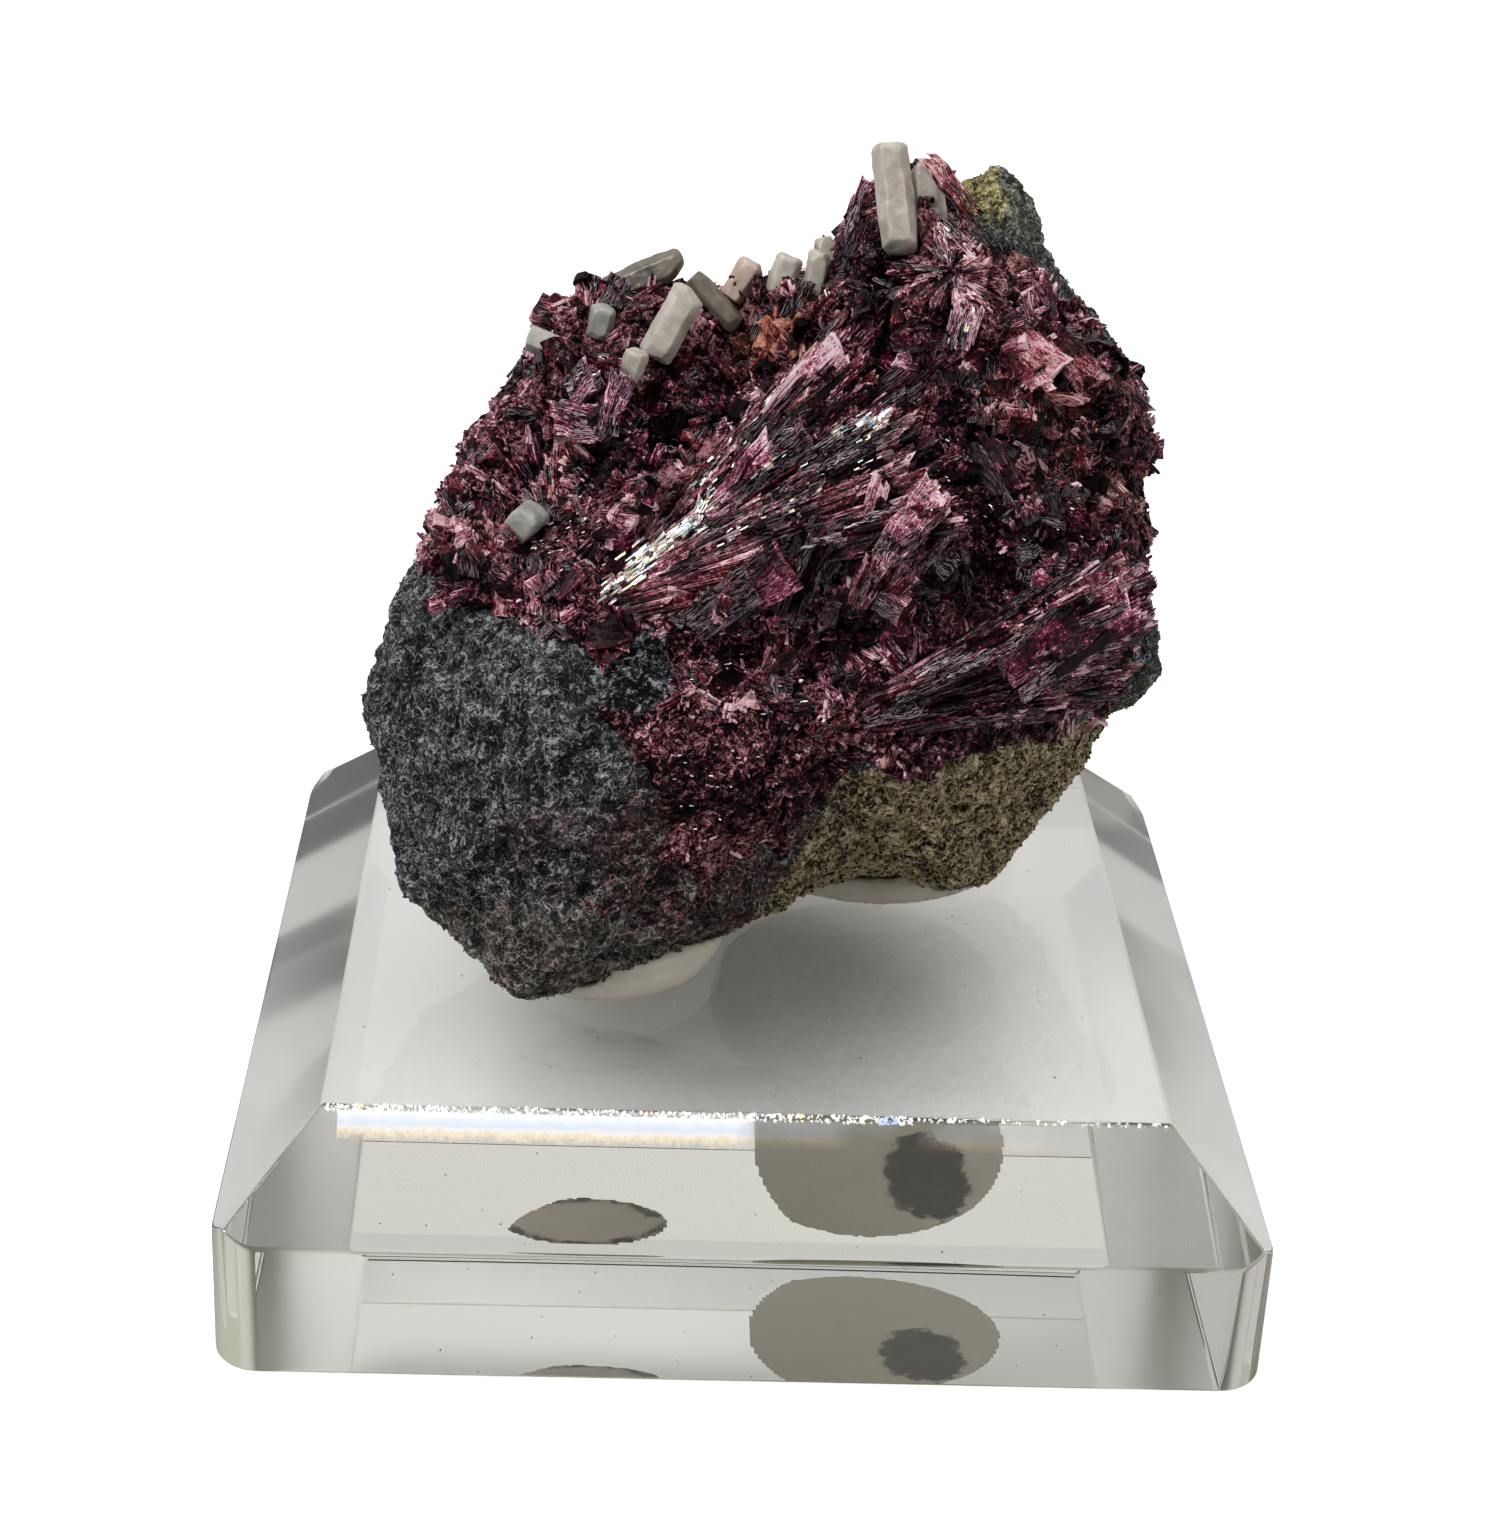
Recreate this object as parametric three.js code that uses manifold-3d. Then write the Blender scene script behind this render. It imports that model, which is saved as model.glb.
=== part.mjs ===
// Erythrite specimen: crimson bladed crystals on their host rock, on putty pads and a clear bevelled block.
// Millimetres, +Z up. The origin is the middle of the block's underside, and the front faces -Y.
import * as THREE from "three";
import { mergeVertices } from "three/addons/utils/BufferGeometryUtils.js";
import Module from "manifold-3d";

const wasm = await Module();
wasm.setup();

// Clear block
const BLOCK_SIDE = 50.8;
const BLOCK_HEIGHT = 12;
const BLOCK_BEVEL = 5;

// Putty pads, by the middle of each oval on the block's top
const PAD_THICKNESS = 2.4;
const PAD_RIM = 0.8;
const PAD_SIDES = 30;
const FRONT_PAD = { x: -7.2, y: -2.7, halfWidth: 6.4, halfLength: 7.9 };
const BACK_PAD = { x: 7.4, y: 10.2, halfWidth: 8.6, halfLength: 9.4 };

// How the specimen stands: its own x runs right, y up its face and z out of its face, and it leans back
const SPECIMEN_CENTRE = new THREE.Vector3(0.5, 2, 30.75);
const LEAN_DEGREES = 64.5;
const TURN_DEGREES = -2.5;
const REST_HEIGHT = 12.9;

// Space left where one piece meets another
const GAP = 0.3;

// Edge of the specimen seen from the front, clockwise from the dip in the crest: x, y and depth z
const EDGE = [
  [2.5, 16, 0],
  [3.5, 19, 0],
  [5, 20.8, 0],
  [7, 21.5, 0],
  [9.2, 20.9, -0.5],
  [10.4, 21.4, -1],
  [11.7, 21.6, -1],
  [12.8, 20.2, -1.5],
  [13.8, 17.5, -2],
  [16.4, 14.6, -3],
  [17.9, 12.8, -4],
  [19.6, 10.7, -4],
  [20.1, 7.6, -4],
  [19.5, 6.2, -4.5],
  [20.5, 3, -5],
  [20.2, 0.5, -5],
  [21.2, -1.6, -5],
  [21, -3.8, -6],
  [20.3, -5.2, -7],
  [17.9, -6.9, -8.6],
  [16.6, -10.2, -9.6],
  [14, -13.8, -10.6],
  [11, -15.7, -7.6],
  [8.2, -15.2, -8.4],
  [5.5, -15.4, -7.8],
  [2, -16.9, -4.8],
  [0, -17.7, -3.1],
  [-2.1, -19, 0.4],
  [-4.5, -19.7, 1.9],
  [-8.4, -20.9, 4.2],
  [-11.2, -21.6, 5.2],
  [-14.2, -19.6, 4],
  [-17.2, -17.3, 4],
  [-18.3, -14.5, 3],
  [-19.6, -10.6, 2],
  [-20.2, -7.4, 1],
  [-19.2, -4.3, 1],
  [-18, -0.5, 1],
  [-16.7, 2.8, 0.5],
  [-15.3, 6.8, 0],
  [-12.6, 10.8, 0],
  [-10.8, 13.4, 0],
  [-8.6, 14.5, 0],
  [-6.4, 15.2, 0],
  [-3, 14.3, 0],
  [-0.4, 15.2, 0],
];

// Depths of the specimen's face and back, and the point that its rings close in on
const FACE_DEPTH = 10;
const BACK_DEPTH = -13;
const MIDDLE = new THREE.Vector2(1, -3);
const SECTORS = 66;
const FACE_RINGS = [0.15, 0.3, 0.44, 0.57, 0.69, 0.8, 0.89, 0.96, 1];
const BACK_RINGS = [0.3, 0.56, 0.78, 0.93];
const ROUGHNESS = 0.35;
// How squarely face and back turn into the edge, and the part of the way over which swells fade out there
const SQUARENESS = 0.65;
const EDGE_FADE = 0.2;

// Swells and hollows of the face: middle, half-widths, turn in degrees and height
const FACE_FORMS = [
  { name: "dark rock bulge", at: [-10.5, -9.5], reach: [6.5, 5.5], turn: 0, height: 2.5 },
  { name: "left shoulder", at: [-13.5, 2], reach: [4, 4], turn: 0, height: 1.6 },
  { name: "plate knob", at: [-8.7, 8], reach: [2.6, 2.2], turn: 0, height: 2.2 },
  { name: "crest shoulder", at: [-6, 12.5], reach: [3, 1.8], turn: 0, height: 1.2 },
  { name: "gully over the great fan", at: [-3.6, 8], reach: [4.6, 1.3], turn: 38, height: -3 },
  { name: "bed of the great fan", at: [-0.6, 3.6], reach: [6, 3], turn: 36, height: -1.2 },
  { name: "hollow at the dip", at: [-0.3, 12], reach: [2.4, 2], turn: 0, height: -2 },
  { name: "black hollow", at: [4.8, 12], reach: [1.4, 3.2], turn: -10, height: -3.5 },
  { name: "spray under the peak", at: [9, 15.3], reach: [3, 2.6], turn: 0, height: 1.6 },
  { name: "right shoulder", at: [14.3, 10.5], reach: [3.4, 2.6], turn: -20, height: 2 },
  { name: "right cavity", at: [16.6, 3.4], reach: [1.7, 1.1], turn: 0, height: -3.5 },
  { name: "hollow right of the great fan", at: [9.8, 6], reach: [1.8, 3], turn: 15, height: -1.8 },
  { name: "steep bundle", at: [6.6, 1.4], reach: [3, 1.8], turn: 62, height: 0.8 },
  { name: "purple plate swell", at: [16.5, -2], reach: [3.6, 3], turn: 25, height: 1.8 },
  { name: "gully under the great fan", at: [1.5, -4.2], reach: [4.6, 1.3], turn: 18, height: -1.8 },
  { name: "low fan", at: [10, -5.2], reach: [7, 1.7], turn: 18, height: 0.6 },
  { name: "olive slope", at: [8, -12.3], reach: [6, 2], turn: 10, height: -1.6 },
  { name: "lower lip", at: [-9.5, -18.3], reach: [5, 1.2], turn: -8, height: 1 },
];

// Broken faces of the rock: a point on each and the way it looks
const FRACTURES = [
  { at: [-19.3, -9, 3], facing: [-0.9, -0.1, 0.42] },
  { at: [0, 2, -11.5], facing: [0.05, 0.12, -1] },
  { at: [14, 8, -10.5], facing: [0.5, 0.42, -0.76] },
  { at: [-12, 5, -7], facing: [-0.62, 0.3, -0.72] },
  { at: [-13, -9, -5], facing: [-0.6, -0.25, -0.76] },
  { at: [17, -9, -13], facing: [0.62, -0.2, -0.76] },
];

// Where crystals cover the face, seen from the front; past the edge it only says that they reach round it
const CRUST_EDGE = [
  [-18.6, 0.5],
  [-15.3, -2.3],
  [-10.2, -2.8],
  [-8.8, -5],
  [-7.5, -7],
  [-5.6, -9.9],
  [-4.9, -11.8],
  [-6.2, -14.6],
  [-2.5, -16],
  [1.5, -13.8],
  [4.7, -10.2],
  [10.2, -8.9],
  [17.5, -6.4],
  [19.7, -3.4],
  [19.9, -0.2],
  [23.5, 2],
  [23.5, 11],
  [18, 13.2],
  [14.6, 13.8],
  [13.2, 16.6],
  [10.4, 17.3],
  [9.2, 19.8],
  [9, 24],
  [2, 23],
  [1, 18.5],
  [-4, 17.5],
  [-10, 17],
  [-15, 12.5],
  [-19, 6.5],
];
const CRUST_THICKNESS = 6;
const CRUST_SLOPE = 1.2;
const BED_RINGS = [0.25, 0.5, 0.74, 0.91, 1];
const BED_REACH = 1.15;
const BED_FLOOR = -40;

// Fans of blades: root, arc from the first to the last direction in degrees, number of blades, longest and
// shortest, width, and how far their tips stand out
const FANS = [
  { name: "great fan", at: [-8.4, -2.3], arc: [17, 47], count: 13, long: [18, 11], width: 1.7, lift: 1.5 },
  { name: "great fan top", at: [-4.8, 0.9], arc: [28, 46], count: 7, long: [13, 8], width: 1.5, lift: 2.4 },
  { name: "low fan", at: [2.4, -8.2], arc: [10, 33], count: 9, long: [18, 10], width: 1.6, lift: 1.3 },
  { name: "steep bundle", at: [3.4, -4.4], arc: [48, 76], count: 6, long: [9.5, 6], width: 1.6, lift: 1.6 },
  { name: "peak spray", at: [8.3, 15.2], arc: [100, 330], count: 8, long: [5.5, 3.6], width: 1.2, lift: 1.3 },
  { name: "peak crest", at: [8.4, 16.6], arc: [96, 122], count: 3, long: [5.4, 4.4], width: 1.2, lift: 0.8 },
  { name: "hollow wall", at: [3.4, 15.8], arc: [225, 300], count: 3, long: [5, 3.5], width: 1.3, lift: 0.8 },
  { name: "right spray", at: [12.4, 6.4], arc: [-75, 60], count: 8, long: [7.4, 4.6], width: 1.4, lift: 1.2 },
  { name: "east crest", at: [12.2, 11], arc: [-20, 70], count: 5, long: [6, 4], width: 1.5, lift: 1 },
  { name: "left spray", at: [-10.5, 1.6], arc: [92, 200], count: 8, long: [6.4, 4], width: 1.3, lift: 1.1 },
  { name: "knob sheaf", at: [-9.6, 5], arc: [60, 120], count: 4, long: [5, 3.6], width: 1.6, lift: 1.2 },
  { name: "crest sheaf", at: [-9.5, 10.8], arc: [70, 150], count: 5, long: [3.6, 2.6], width: 1.2, lift: 0.6 },
  { name: "dip sheaf", at: [-0.8, 11.2], arc: [30, 110], count: 4, long: [4.6, 3.2], width: 1.3, lift: 0.8 },
  { name: "gully sheaf", at: [-9, -0.4], arc: [50, 66], count: 4, long: [7.5, 5], width: 1.4, lift: 1.1 },
  { name: "east sheaf", at: [7.8, 9.6], arc: [-15, 45], count: 5, long: [5.6, 4], width: 1.4, lift: 1.2 },
  { name: "foot sheaf", at: [-11.8, -2.2], arc: [110, 168], count: 4, long: [5, 3.4], width: 1.4, lift: 0.9 },
];
const BLADE_THICKNESS = 0.55;
const BLADE_SINK = 1.3;
const MOST_LIFT = 3.2;
const BLADE_TURN = 55;

// Single broad plates: root, tip, width, how far each end stands out, and turn about its length in degrees
const PLATES = [
  { name: "pink plate", at: [-10, 7.2], to: [-7, 8.2], width: 3.4, lift: [0.5, 0.9], turn: -20 },
  { name: "upper pink plate", at: [-9.9, 8.8], to: [-7.2, 9.8], width: 2.2, lift: [0.5, 0.7], turn: -35 },
  { name: "plum plate", at: [-2.2, -2.6], to: [2.2, 0.6], width: 2.2, lift: [0.7, 1.4], turn: 30 },
  { name: "silver plate", at: [5.6, 0.4], to: [8.2, 4], width: 2.1, lift: [1, 1.6], turn: -15 },
  { name: "red plate", at: [1, 9], to: [4.4, 11.2], width: 1.9, lift: [0.8, 1.6], turn: 25 },
  { name: "shoulder plate", at: [12.6, 12.2], to: [16.4, 10.6], width: 2.6, lift: [1, 1.2], turn: 10 },
  { name: "purple plate", at: [12.8, -4], to: [19.4, 0.4], width: 4.2, lift: [0.6, 0.9], turn: 12 },
];

const PLATE_THICKNESS = 1.8;

// Pale crystals standing in the crust: foot and tip seen from the front, width and depth, number of sides
// where it isn't six, and how far the foot stands out of the face and the tip out of the foot
const PALE_CRYSTALS = [
  { name: "pale_crystal_tall", foot: [6.1, 15.8], tip: [5.2, 21.4], size: [2, 1.7], out: [1.4, 0.4] },
  { name: "pale_crystal_block", foot: [7.4, 17.2], tip: [7.1, 20.8], size: [1.9, 1.7], out: [0.9, 0.7] },
  { name: "pale_crystal_tilted", foot: [-6, 10], tip: [-4.2, 13.5], size: [1.9, 1.6], out: [1.2, 1] },
  { name: "pale_crystal_stub", foot: [-7.3, 8.6], tip: [-6.6, 10.2], size: [1.5, 1.3], out: [1.1, 0.9] },
  { name: "grey_crystal_ridge", foot: [-9, 13.9], tip: [-4.9, 15.7], size: [1.8, 1.6], out: [0.4, 0.8] },
  { name: "grey_crystal_long", foot: [-1.9, 12.3], tip: [-4.5, 14.9], size: [1.2, 1.1], out: [0.8, 0.4] },
  { name: "pale_crystal_pink", foot: [-2.4, 13.7], tip: [-1.3, 15.7], size: [1.5, 1.3], out: [0.9, 0.6] },
  {
    name: "pale_crystal_left",
    foot: [0, 14],
    tip: [0.6, 16],
    size: [1.6, 1.3],
    sides: 5,
    out: [0.9, 0.8],
  },
  {
    name: "pale_crystal_right",
    foot: [1.7, 13.7],
    tip: [2.1, 16.2],
    size: [1.4, 1.3],
    sides: 5,
    out: [0.9, 0.8],
  },
  {
    name: "pale_crystal_cube",
    foot: [-12.5, 0.8],
    tip: [-11.3, 2.1],
    size: [2, 1.9],
    sides: 4,
    out: [1, 1.2],
  },
  {
    name: "grey_crystal_small",
    foot: [-9, 11.2],
    tip: [-8.6, 12.8],
    size: [1.5, 1.2],
    sides: 5,
    out: [0.9, 0.8],
  },
];

// Pseudo-random numbers from 0 to 1, the same on every run
let seed = 20;
function chance() {
  seed = (seed * 16807) % 2147483647;
  return seed / 2147483647;
}
const between = (low, high) => low + (high - low) * chance();

// Solids and meshes
function solidOf(geometry) {
  const bare = new THREE.BufferGeometry();
  bare.setAttribute("position", geometry.getAttribute("position").clone());
  bare.setIndex(geometry.index);
  const merged = mergeVertices(bare, 1e-4);
  return new wasm.Manifold(
    new wasm.Mesh({
      numProp: 3,
      vertProperties: merged.getAttribute("position").array,
      triVerts: new Uint32Array(merged.index.array),
    }),
  );
}

function geometryOf(solid) {
  const mesh = solid.getMesh();
  const indexed = new THREE.BufferGeometry();
  indexed.setAttribute("position", new THREE.BufferAttribute(Float32Array.from(mesh.vertProperties), 3));
  indexed.setIndex(Array.from(mesh.triVerts));
  const geometry = indexed.toNonIndexed();
  geometry.computeVertexNormals();
  return geometry;
}

function biggestPart(solid) {
  const parts = solid.decompose();
  return parts.reduce((best, part) => (part.volume() > best.volume() ? part : best));
}

// Face and back of the specimen, as rings that close in on its middle
const edgeCurve = new THREE.CatmullRomCurve3(
  EDGE.map((point) => new THREE.Vector3(...point)),
  true,
  "catmullrom",
  0.4,
);

// Height of one swell or hollow at a point seen from the front
function swell(form, x, y) {
  const turn = THREE.MathUtils.degToRad(form.turn);
  const dx = x - form.at[0];
  const dy = y - form.at[1];
  const along = (dx * Math.cos(turn) + dy * Math.sin(turn)) / form.reach[0];
  const across = (dy * Math.cos(turn) - dx * Math.sin(turn)) / form.reach[1];
  return form.height * Math.exp(-(along * along + across * across));
}

// Low waves that break up the smooth form
function ripple(x, y) {
  const broad = Math.sin(1.3 * x + 0.6 * y) * Math.cos(1.1 * y - 0.5 * x);
  const fine = Math.sin(2.3 * y + 1.7 * x);
  return 0.35 * broad + 0.25 * fine;
}

function ringPoint(turn, ring, depth) {
  const edge = edgeCurve.getPoint(turn);
  const x = MIDDLE.x + (edge.x - MIDDLE.x) * ring;
  const y = MIDDLE.y + (edge.y - MIDDLE.y) * ring;
  const fall = ring < 1 ? 1 - Math.pow(1 - ring * ring, SQUARENESS) : ring;
  return new THREE.Vector3(x, y, depth + (edge.z - depth) * fall);
}

function facePoint(turn, ring) {
  const point = ringPoint(turn, ring, FACE_DEPTH);
  const fade = THREE.MathUtils.clamp((1 - ring) / EDGE_FADE, 0, 1);
  const forms = FACE_FORMS.reduce((sum, form) => sum + swell(form, point.x, point.y), 0);
  point.z += fade * (forms + ripple(point.x, point.y));
  return point;
}

function backPoint(turn, ring) {
  const point = ringPoint(turn, ring, BACK_DEPTH);
  point.z += (1 - ring) * 2 * ripple(point.x * 0.7, point.y * 0.7);
  return point;
}

// A closed surface through a row of rings of any number of points, with a point at each end
function closedRings(first, rings, last) {
  const points = [first, ...rings.flat(), last];
  const index = [];
  let start = 1;
  const numbered = rings.map((ring) => {
    const numbers = ring.map((_, i) => start + i);
    start += ring.length;
    return numbers;
  });
  const wrap = (ring, i) => ring[i % ring.length];
  const inner = numbered[0];
  const outer = numbered.at(-1);
  inner.forEach((number, i) => index.push(0, wrap(inner, i + 1), number));
  outer.forEach((number, i) => index.push(number, wrap(outer, i + 1), points.length - 1));
  numbered.slice(1).forEach((next, r) => {
    const ring = numbered[r];
    let i = 0;
    let j = 0;
    while (i < ring.length || j < next.length) {
      if ((i + 1) * next.length <= (j + 1) * ring.length) {
        index.push(wrap(ring, i), wrap(ring, i + 1), wrap(next, j));
        i += 1;
      } else {
        index.push(wrap(ring, i), wrap(next, j + 1), wrap(next, j));
        j += 1;
      }
    }
  });
  const geometry = new THREE.BufferGeometry().setFromPoints(points);
  geometry.setIndex(index);
  return geometry;
}

// Points round one ring, fewer on a ring that is smaller
function ringOf(ring, place) {
  const count = Math.max(9, Math.round(SECTORS * Math.min(ring, 1)));
  return Array.from({ length: count }, (_, sector) => place(sector / count, ring));
}

function roughened(point) {
  const shift = new THREE.Vector3(between(-1, 1), between(-1, 1), between(-1, 1));
  return point.addScaledVector(shift, ROUGHNESS);
}

function makeLump() {
  const rough = (sheet) => (turn, ring) => roughened(sheet(turn, ring));
  const face = FACE_RINGS.map((ring) => ringOf(ring, rough(facePoint)));
  const back = BACK_RINGS.toReversed().map((ring) => ringOf(ring, rough(backPoint)));
  return solidOf(closedRings(facePoint(0, 0), [...face, ...back], backPoint(0, 0)));
}

// A large box with one face through a point, used to break the rock along a plane
function halfSpace(at, facing) {
  const size = 80;
  const out = new THREE.Vector3(...facing).normalize();
  const box = new THREE.BoxGeometry(size, size, size);
  box.applyQuaternion(new THREE.Quaternion().setFromUnitVectors(new THREE.Vector3(0, 0, 1), out));
  const centre = new THREE.Vector3(...at).addScaledVector(out, size / 2);
  box.translate(centre.x, centre.y, centre.z);
  return solidOf(box);
}

// Distance inside the crust's edge, negative outside it
function insideCrust(x, y) {
  let nearest = Infinity;
  let inside = false;
  CRUST_EDGE.forEach(([ax, ay], i) => {
    const [bx, by] = CRUST_EDGE[(i + 1) % CRUST_EDGE.length];
    const along = ((x - ax) * (bx - ax) + (y - ay) * (by - ay)) / ((bx - ax) ** 2 + (by - ay) ** 2);
    const t = THREE.MathUtils.clamp(along, 0, 1);
    nearest = Math.min(nearest, Math.hypot(x - ax - t * (bx - ax), y - ay - t * (by - ay)));
    if (ay > y !== by > y && x < ax + ((y - ay) * (bx - ax)) / (by - ay)) inside = !inside;
  });
  return inside ? nearest : -nearest;
}

// Everything under the crust, down to a flat floor far behind the rock
function makeBed(offset) {
  const reach = [...BED_RINGS, BED_REACH];
  const cover = (point) => {
    const thickness = THREE.MathUtils.clamp(CRUST_SLOPE * insideCrust(point.x, point.y), -2, CRUST_THICKNESS);
    return new THREE.Vector3(point.x, point.y, point.z - thickness + offset);
  };
  const top = reach.map((ring) => ringOf(ring, (...place) => cover(facePoint(...place))));
  const floor = ringOf(BED_REACH, (...place) => facePoint(...place).setZ(BED_FLOOR));
  const under = new THREE.Vector3(MIDDLE.x, MIDDLE.y, BED_FLOOR);
  return solidOf(closedRings(cover(facePoint(0, 0)), [...top, floor], under));
}

// How the specimen stands on the block
const stand = new THREE.Group();
stand.position.copy(SPECIMEN_CENTRE);
stand.rotation.set(
  THREE.MathUtils.degToRad(LEAN_DEGREES),
  0,
  THREE.MathUtils.degToRad(TURN_DEGREES),
  "ZXY",
);
stand.updateMatrixWorld(true);

// The ground that the lump is worn down to, so that it sits level on the pads
function makeGround() {
  const box = new THREE.BoxGeometry(90, 90, 40, 24, 24, 1);
  const place = box.getAttribute("position");
  for (let i = 0; i < place.count; i += 1) {
    const rise = place.getZ(i) > 0 ? ripple(place.getX(i), place.getY(i)) * 0.6 : 0;
    place.setZ(i, place.getZ(i) - 20 + REST_HEIGHT + rise);
  }
  box.applyMatrix4(stand.matrixWorld.clone().invert());
  return solidOf(box);
}

let lump = makeLump();
FRACTURES.forEach(({ at, facing }) => {
  lump = lump.subtract(halfSpace(at, facing));
});
lump = biggestPart(lump.subtract(makeGround()));

// Depth of the lump's face under a point seen from the front
const lumpMesh = new THREE.Mesh(geometryOf(lump));
lumpMesh.updateMatrixWorld(true);
const probe = new THREE.Raycaster();
function faceDepth(x, y) {
  probe.set(new THREE.Vector3(x, y, 60), new THREE.Vector3(0, 0, -1));
  const hits = probe.intersectObject(lumpMesh);
  return hits.length ? hits[0].point.z : 0;
}

// A flat crystal blade with a slanted end, from root to tip
function makeBlade(root, tip, width, thickness, turn) {
  const length = root.distanceTo(tip);
  const outline = new THREE.Shape();
  outline.moveTo(0, -0.3 * width);
  outline.lineTo(0.9 * length, -0.5 * width);
  outline.lineTo(length, 0.4 * width);
  outline.lineTo(0, 0.3 * width);
  const blade = new THREE.ExtrudeGeometry(outline, { depth: thickness, bevelEnabled: false });
  blade.translate(0, 0, -thickness / 2);
  blade.rotateX(THREE.MathUtils.degToRad(turn));
  const along = new THREE.Vector3().subVectors(tip, root).normalize();
  const side = new THREE.Vector3(0, 0, 1).cross(along).normalize();
  const basis = new THREE.Matrix4().makeBasis(along, side, new THREE.Vector3().crossVectors(along, side));
  blade.applyMatrix4(basis);
  blade.translate(root.x, root.y, root.z);
  return solidOf(blade);
}

function makeFan(fan) {
  const [first, final] = fan.arc;
  const step = (final - first) / (fan.count - 1);
  return Array.from({ length: fan.count }, (_, i) => {
    const direction = THREE.MathUtils.degToRad(first + step * (i + between(-0.35, 0.35)));
    const length = between(fan.long[1], fan.long[0]);
    const start = [fan.at[0] + between(-0.5, 0.5), fan.at[1] + between(-0.5, 0.5)];
    const end = [start[0] + length * Math.cos(direction), start[1] + length * Math.sin(direction)];
    const lift = fan.lift * between(0.6, 1.2);
    const root = new THREE.Vector3(...start, faceDepth(...start) - BLADE_SINK);
    const half = faceDepth((start[0] + end[0]) / 2, (start[1] + end[1]) / 2);
    const clearing = Math.min(2 * (half + 0.5 * lift) - root.z, faceDepth(...end) + MOST_LIFT);
    const tip = new THREE.Vector3(...end, Math.max(faceDepth(...end) + lift, clearing));
    const width = fan.width * between(0.8, 1.25);
    const thickness = BLADE_THICKNESS * between(0.8, 1.4);
    return makeBlade(root, tip, width, thickness, between(-BLADE_TURN, BLADE_TURN));
  });
}

function makePlate(plate) {
  const root = new THREE.Vector3(...plate.at, faceDepth(...plate.at) + plate.lift[0]);
  const tip = new THREE.Vector3(...plate.to, faceDepth(...plate.to) + plate.lift[1]);
  return makeBlade(root, tip, plate.width, PLATE_THICKNESS, plate.turn);
}

// A prism with chamfered ends, made wider all round and longer by grow
function makePrism({ foot, tip, size, sides = 6, out }, grow) {
  const [width, depth] = size;
  const start = new THREE.Vector3(...foot, faceDepth(...foot) + out[0] - depth / 2);
  const end = new THREE.Vector3(...tip, start.z + out[1]);
  const length = start.distanceTo(end) + 2 * grow;
  const chamfer = 0.12 * width;
  const profile = [
    new THREE.Vector2(0, -grow),
    new THREE.Vector2(0.5 * width - chamfer + grow, -grow),
    new THREE.Vector2(0.5 * width + grow, chamfer - grow),
    new THREE.Vector2(0.5 * width + grow, length - 2 * grow - chamfer),
    new THREE.Vector2(0.5 * width - chamfer + grow, length - grow),
    new THREE.Vector2(0, length - grow),
  ];
  const prism = new THREE.LatheGeometry(profile, sides, Math.PI / sides);
  prism.scale(1, 1, (depth + 2 * grow) / (width + 2 * grow));
  const along = new THREE.Vector3().subVectors(end, start).normalize();
  const side = new THREE.Vector3().crossVectors(along, new THREE.Vector3(0, 0, 1)).normalize();
  const basis = new THREE.Matrix4().makeBasis(side, along, new THREE.Vector3().crossVectors(side, along));
  prism.applyMatrix4(basis);
  prism.translate(start.x, start.y, start.z);
  return solidOf(prism);
}

// Host rock and crystal crust
let crust = lump;
[...FANS.flatMap(makeFan), ...PLATES.map(makePlate)].forEach((blade) => {
  crust = crust.add(blade);
});
crust = crust.subtract(makeBed(GAP / 2)).subtract(makeGround());
let rock = lump.intersect(makeBed(-GAP / 2));
PALE_CRYSTALS.forEach((crystal) => {
  const pocket = makePrism(crystal, GAP);
  crust = crust.subtract(pocket);
  rock = rock.subtract(pocket);
});
crust = biggestPart(crust);
rock = biggestPart(rock);

// Finishes
const matter = (color, roughness, extra = {}) =>
  new THREE.MeshStandardMaterial({ color, roughness, metalness: 0, ...extra });
const ROCK_FINISH = matter(0x34363c, 0.9);
const ERYTHRITE_FINISH = matter(0x5c1426, 0.4);
const PALE_FINISH = matter(0xc9c2b8, 0.45);
const GREY_FINISH = matter(0x6f6e66, 0.5);
const PUTTY_FINISH = matter(0xe9e3d3, 0.5);
const ACRYLIC_FINISH = matter(0xf2f4f2, 0.05, { transparent: true, opacity: 0.35 });

function piece(name, geometry, finish) {
  const mesh = new THREE.Mesh(geometry, finish);
  mesh.name = name;
  return mesh;
}

// Clear block: a square body whose four top edges are cut at 45 degrees
function makeBlock() {
  const corner = (BLOCK_SIDE / 2) * Math.SQRT2;
  const profile = [
    new THREE.Vector2(0, 0),
    new THREE.Vector2(corner, 0),
    new THREE.Vector2(corner, BLOCK_HEIGHT - BLOCK_BEVEL),
    new THREE.Vector2(corner - BLOCK_BEVEL * Math.SQRT2, BLOCK_HEIGHT),
    new THREE.Vector2(0, BLOCK_HEIGHT),
  ];
  const block = new THREE.LatheGeometry(profile, 4, Math.PI / 4);
  block.rotateX(Math.PI / 2);
  return geometryOf(solidOf(block));
}

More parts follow.
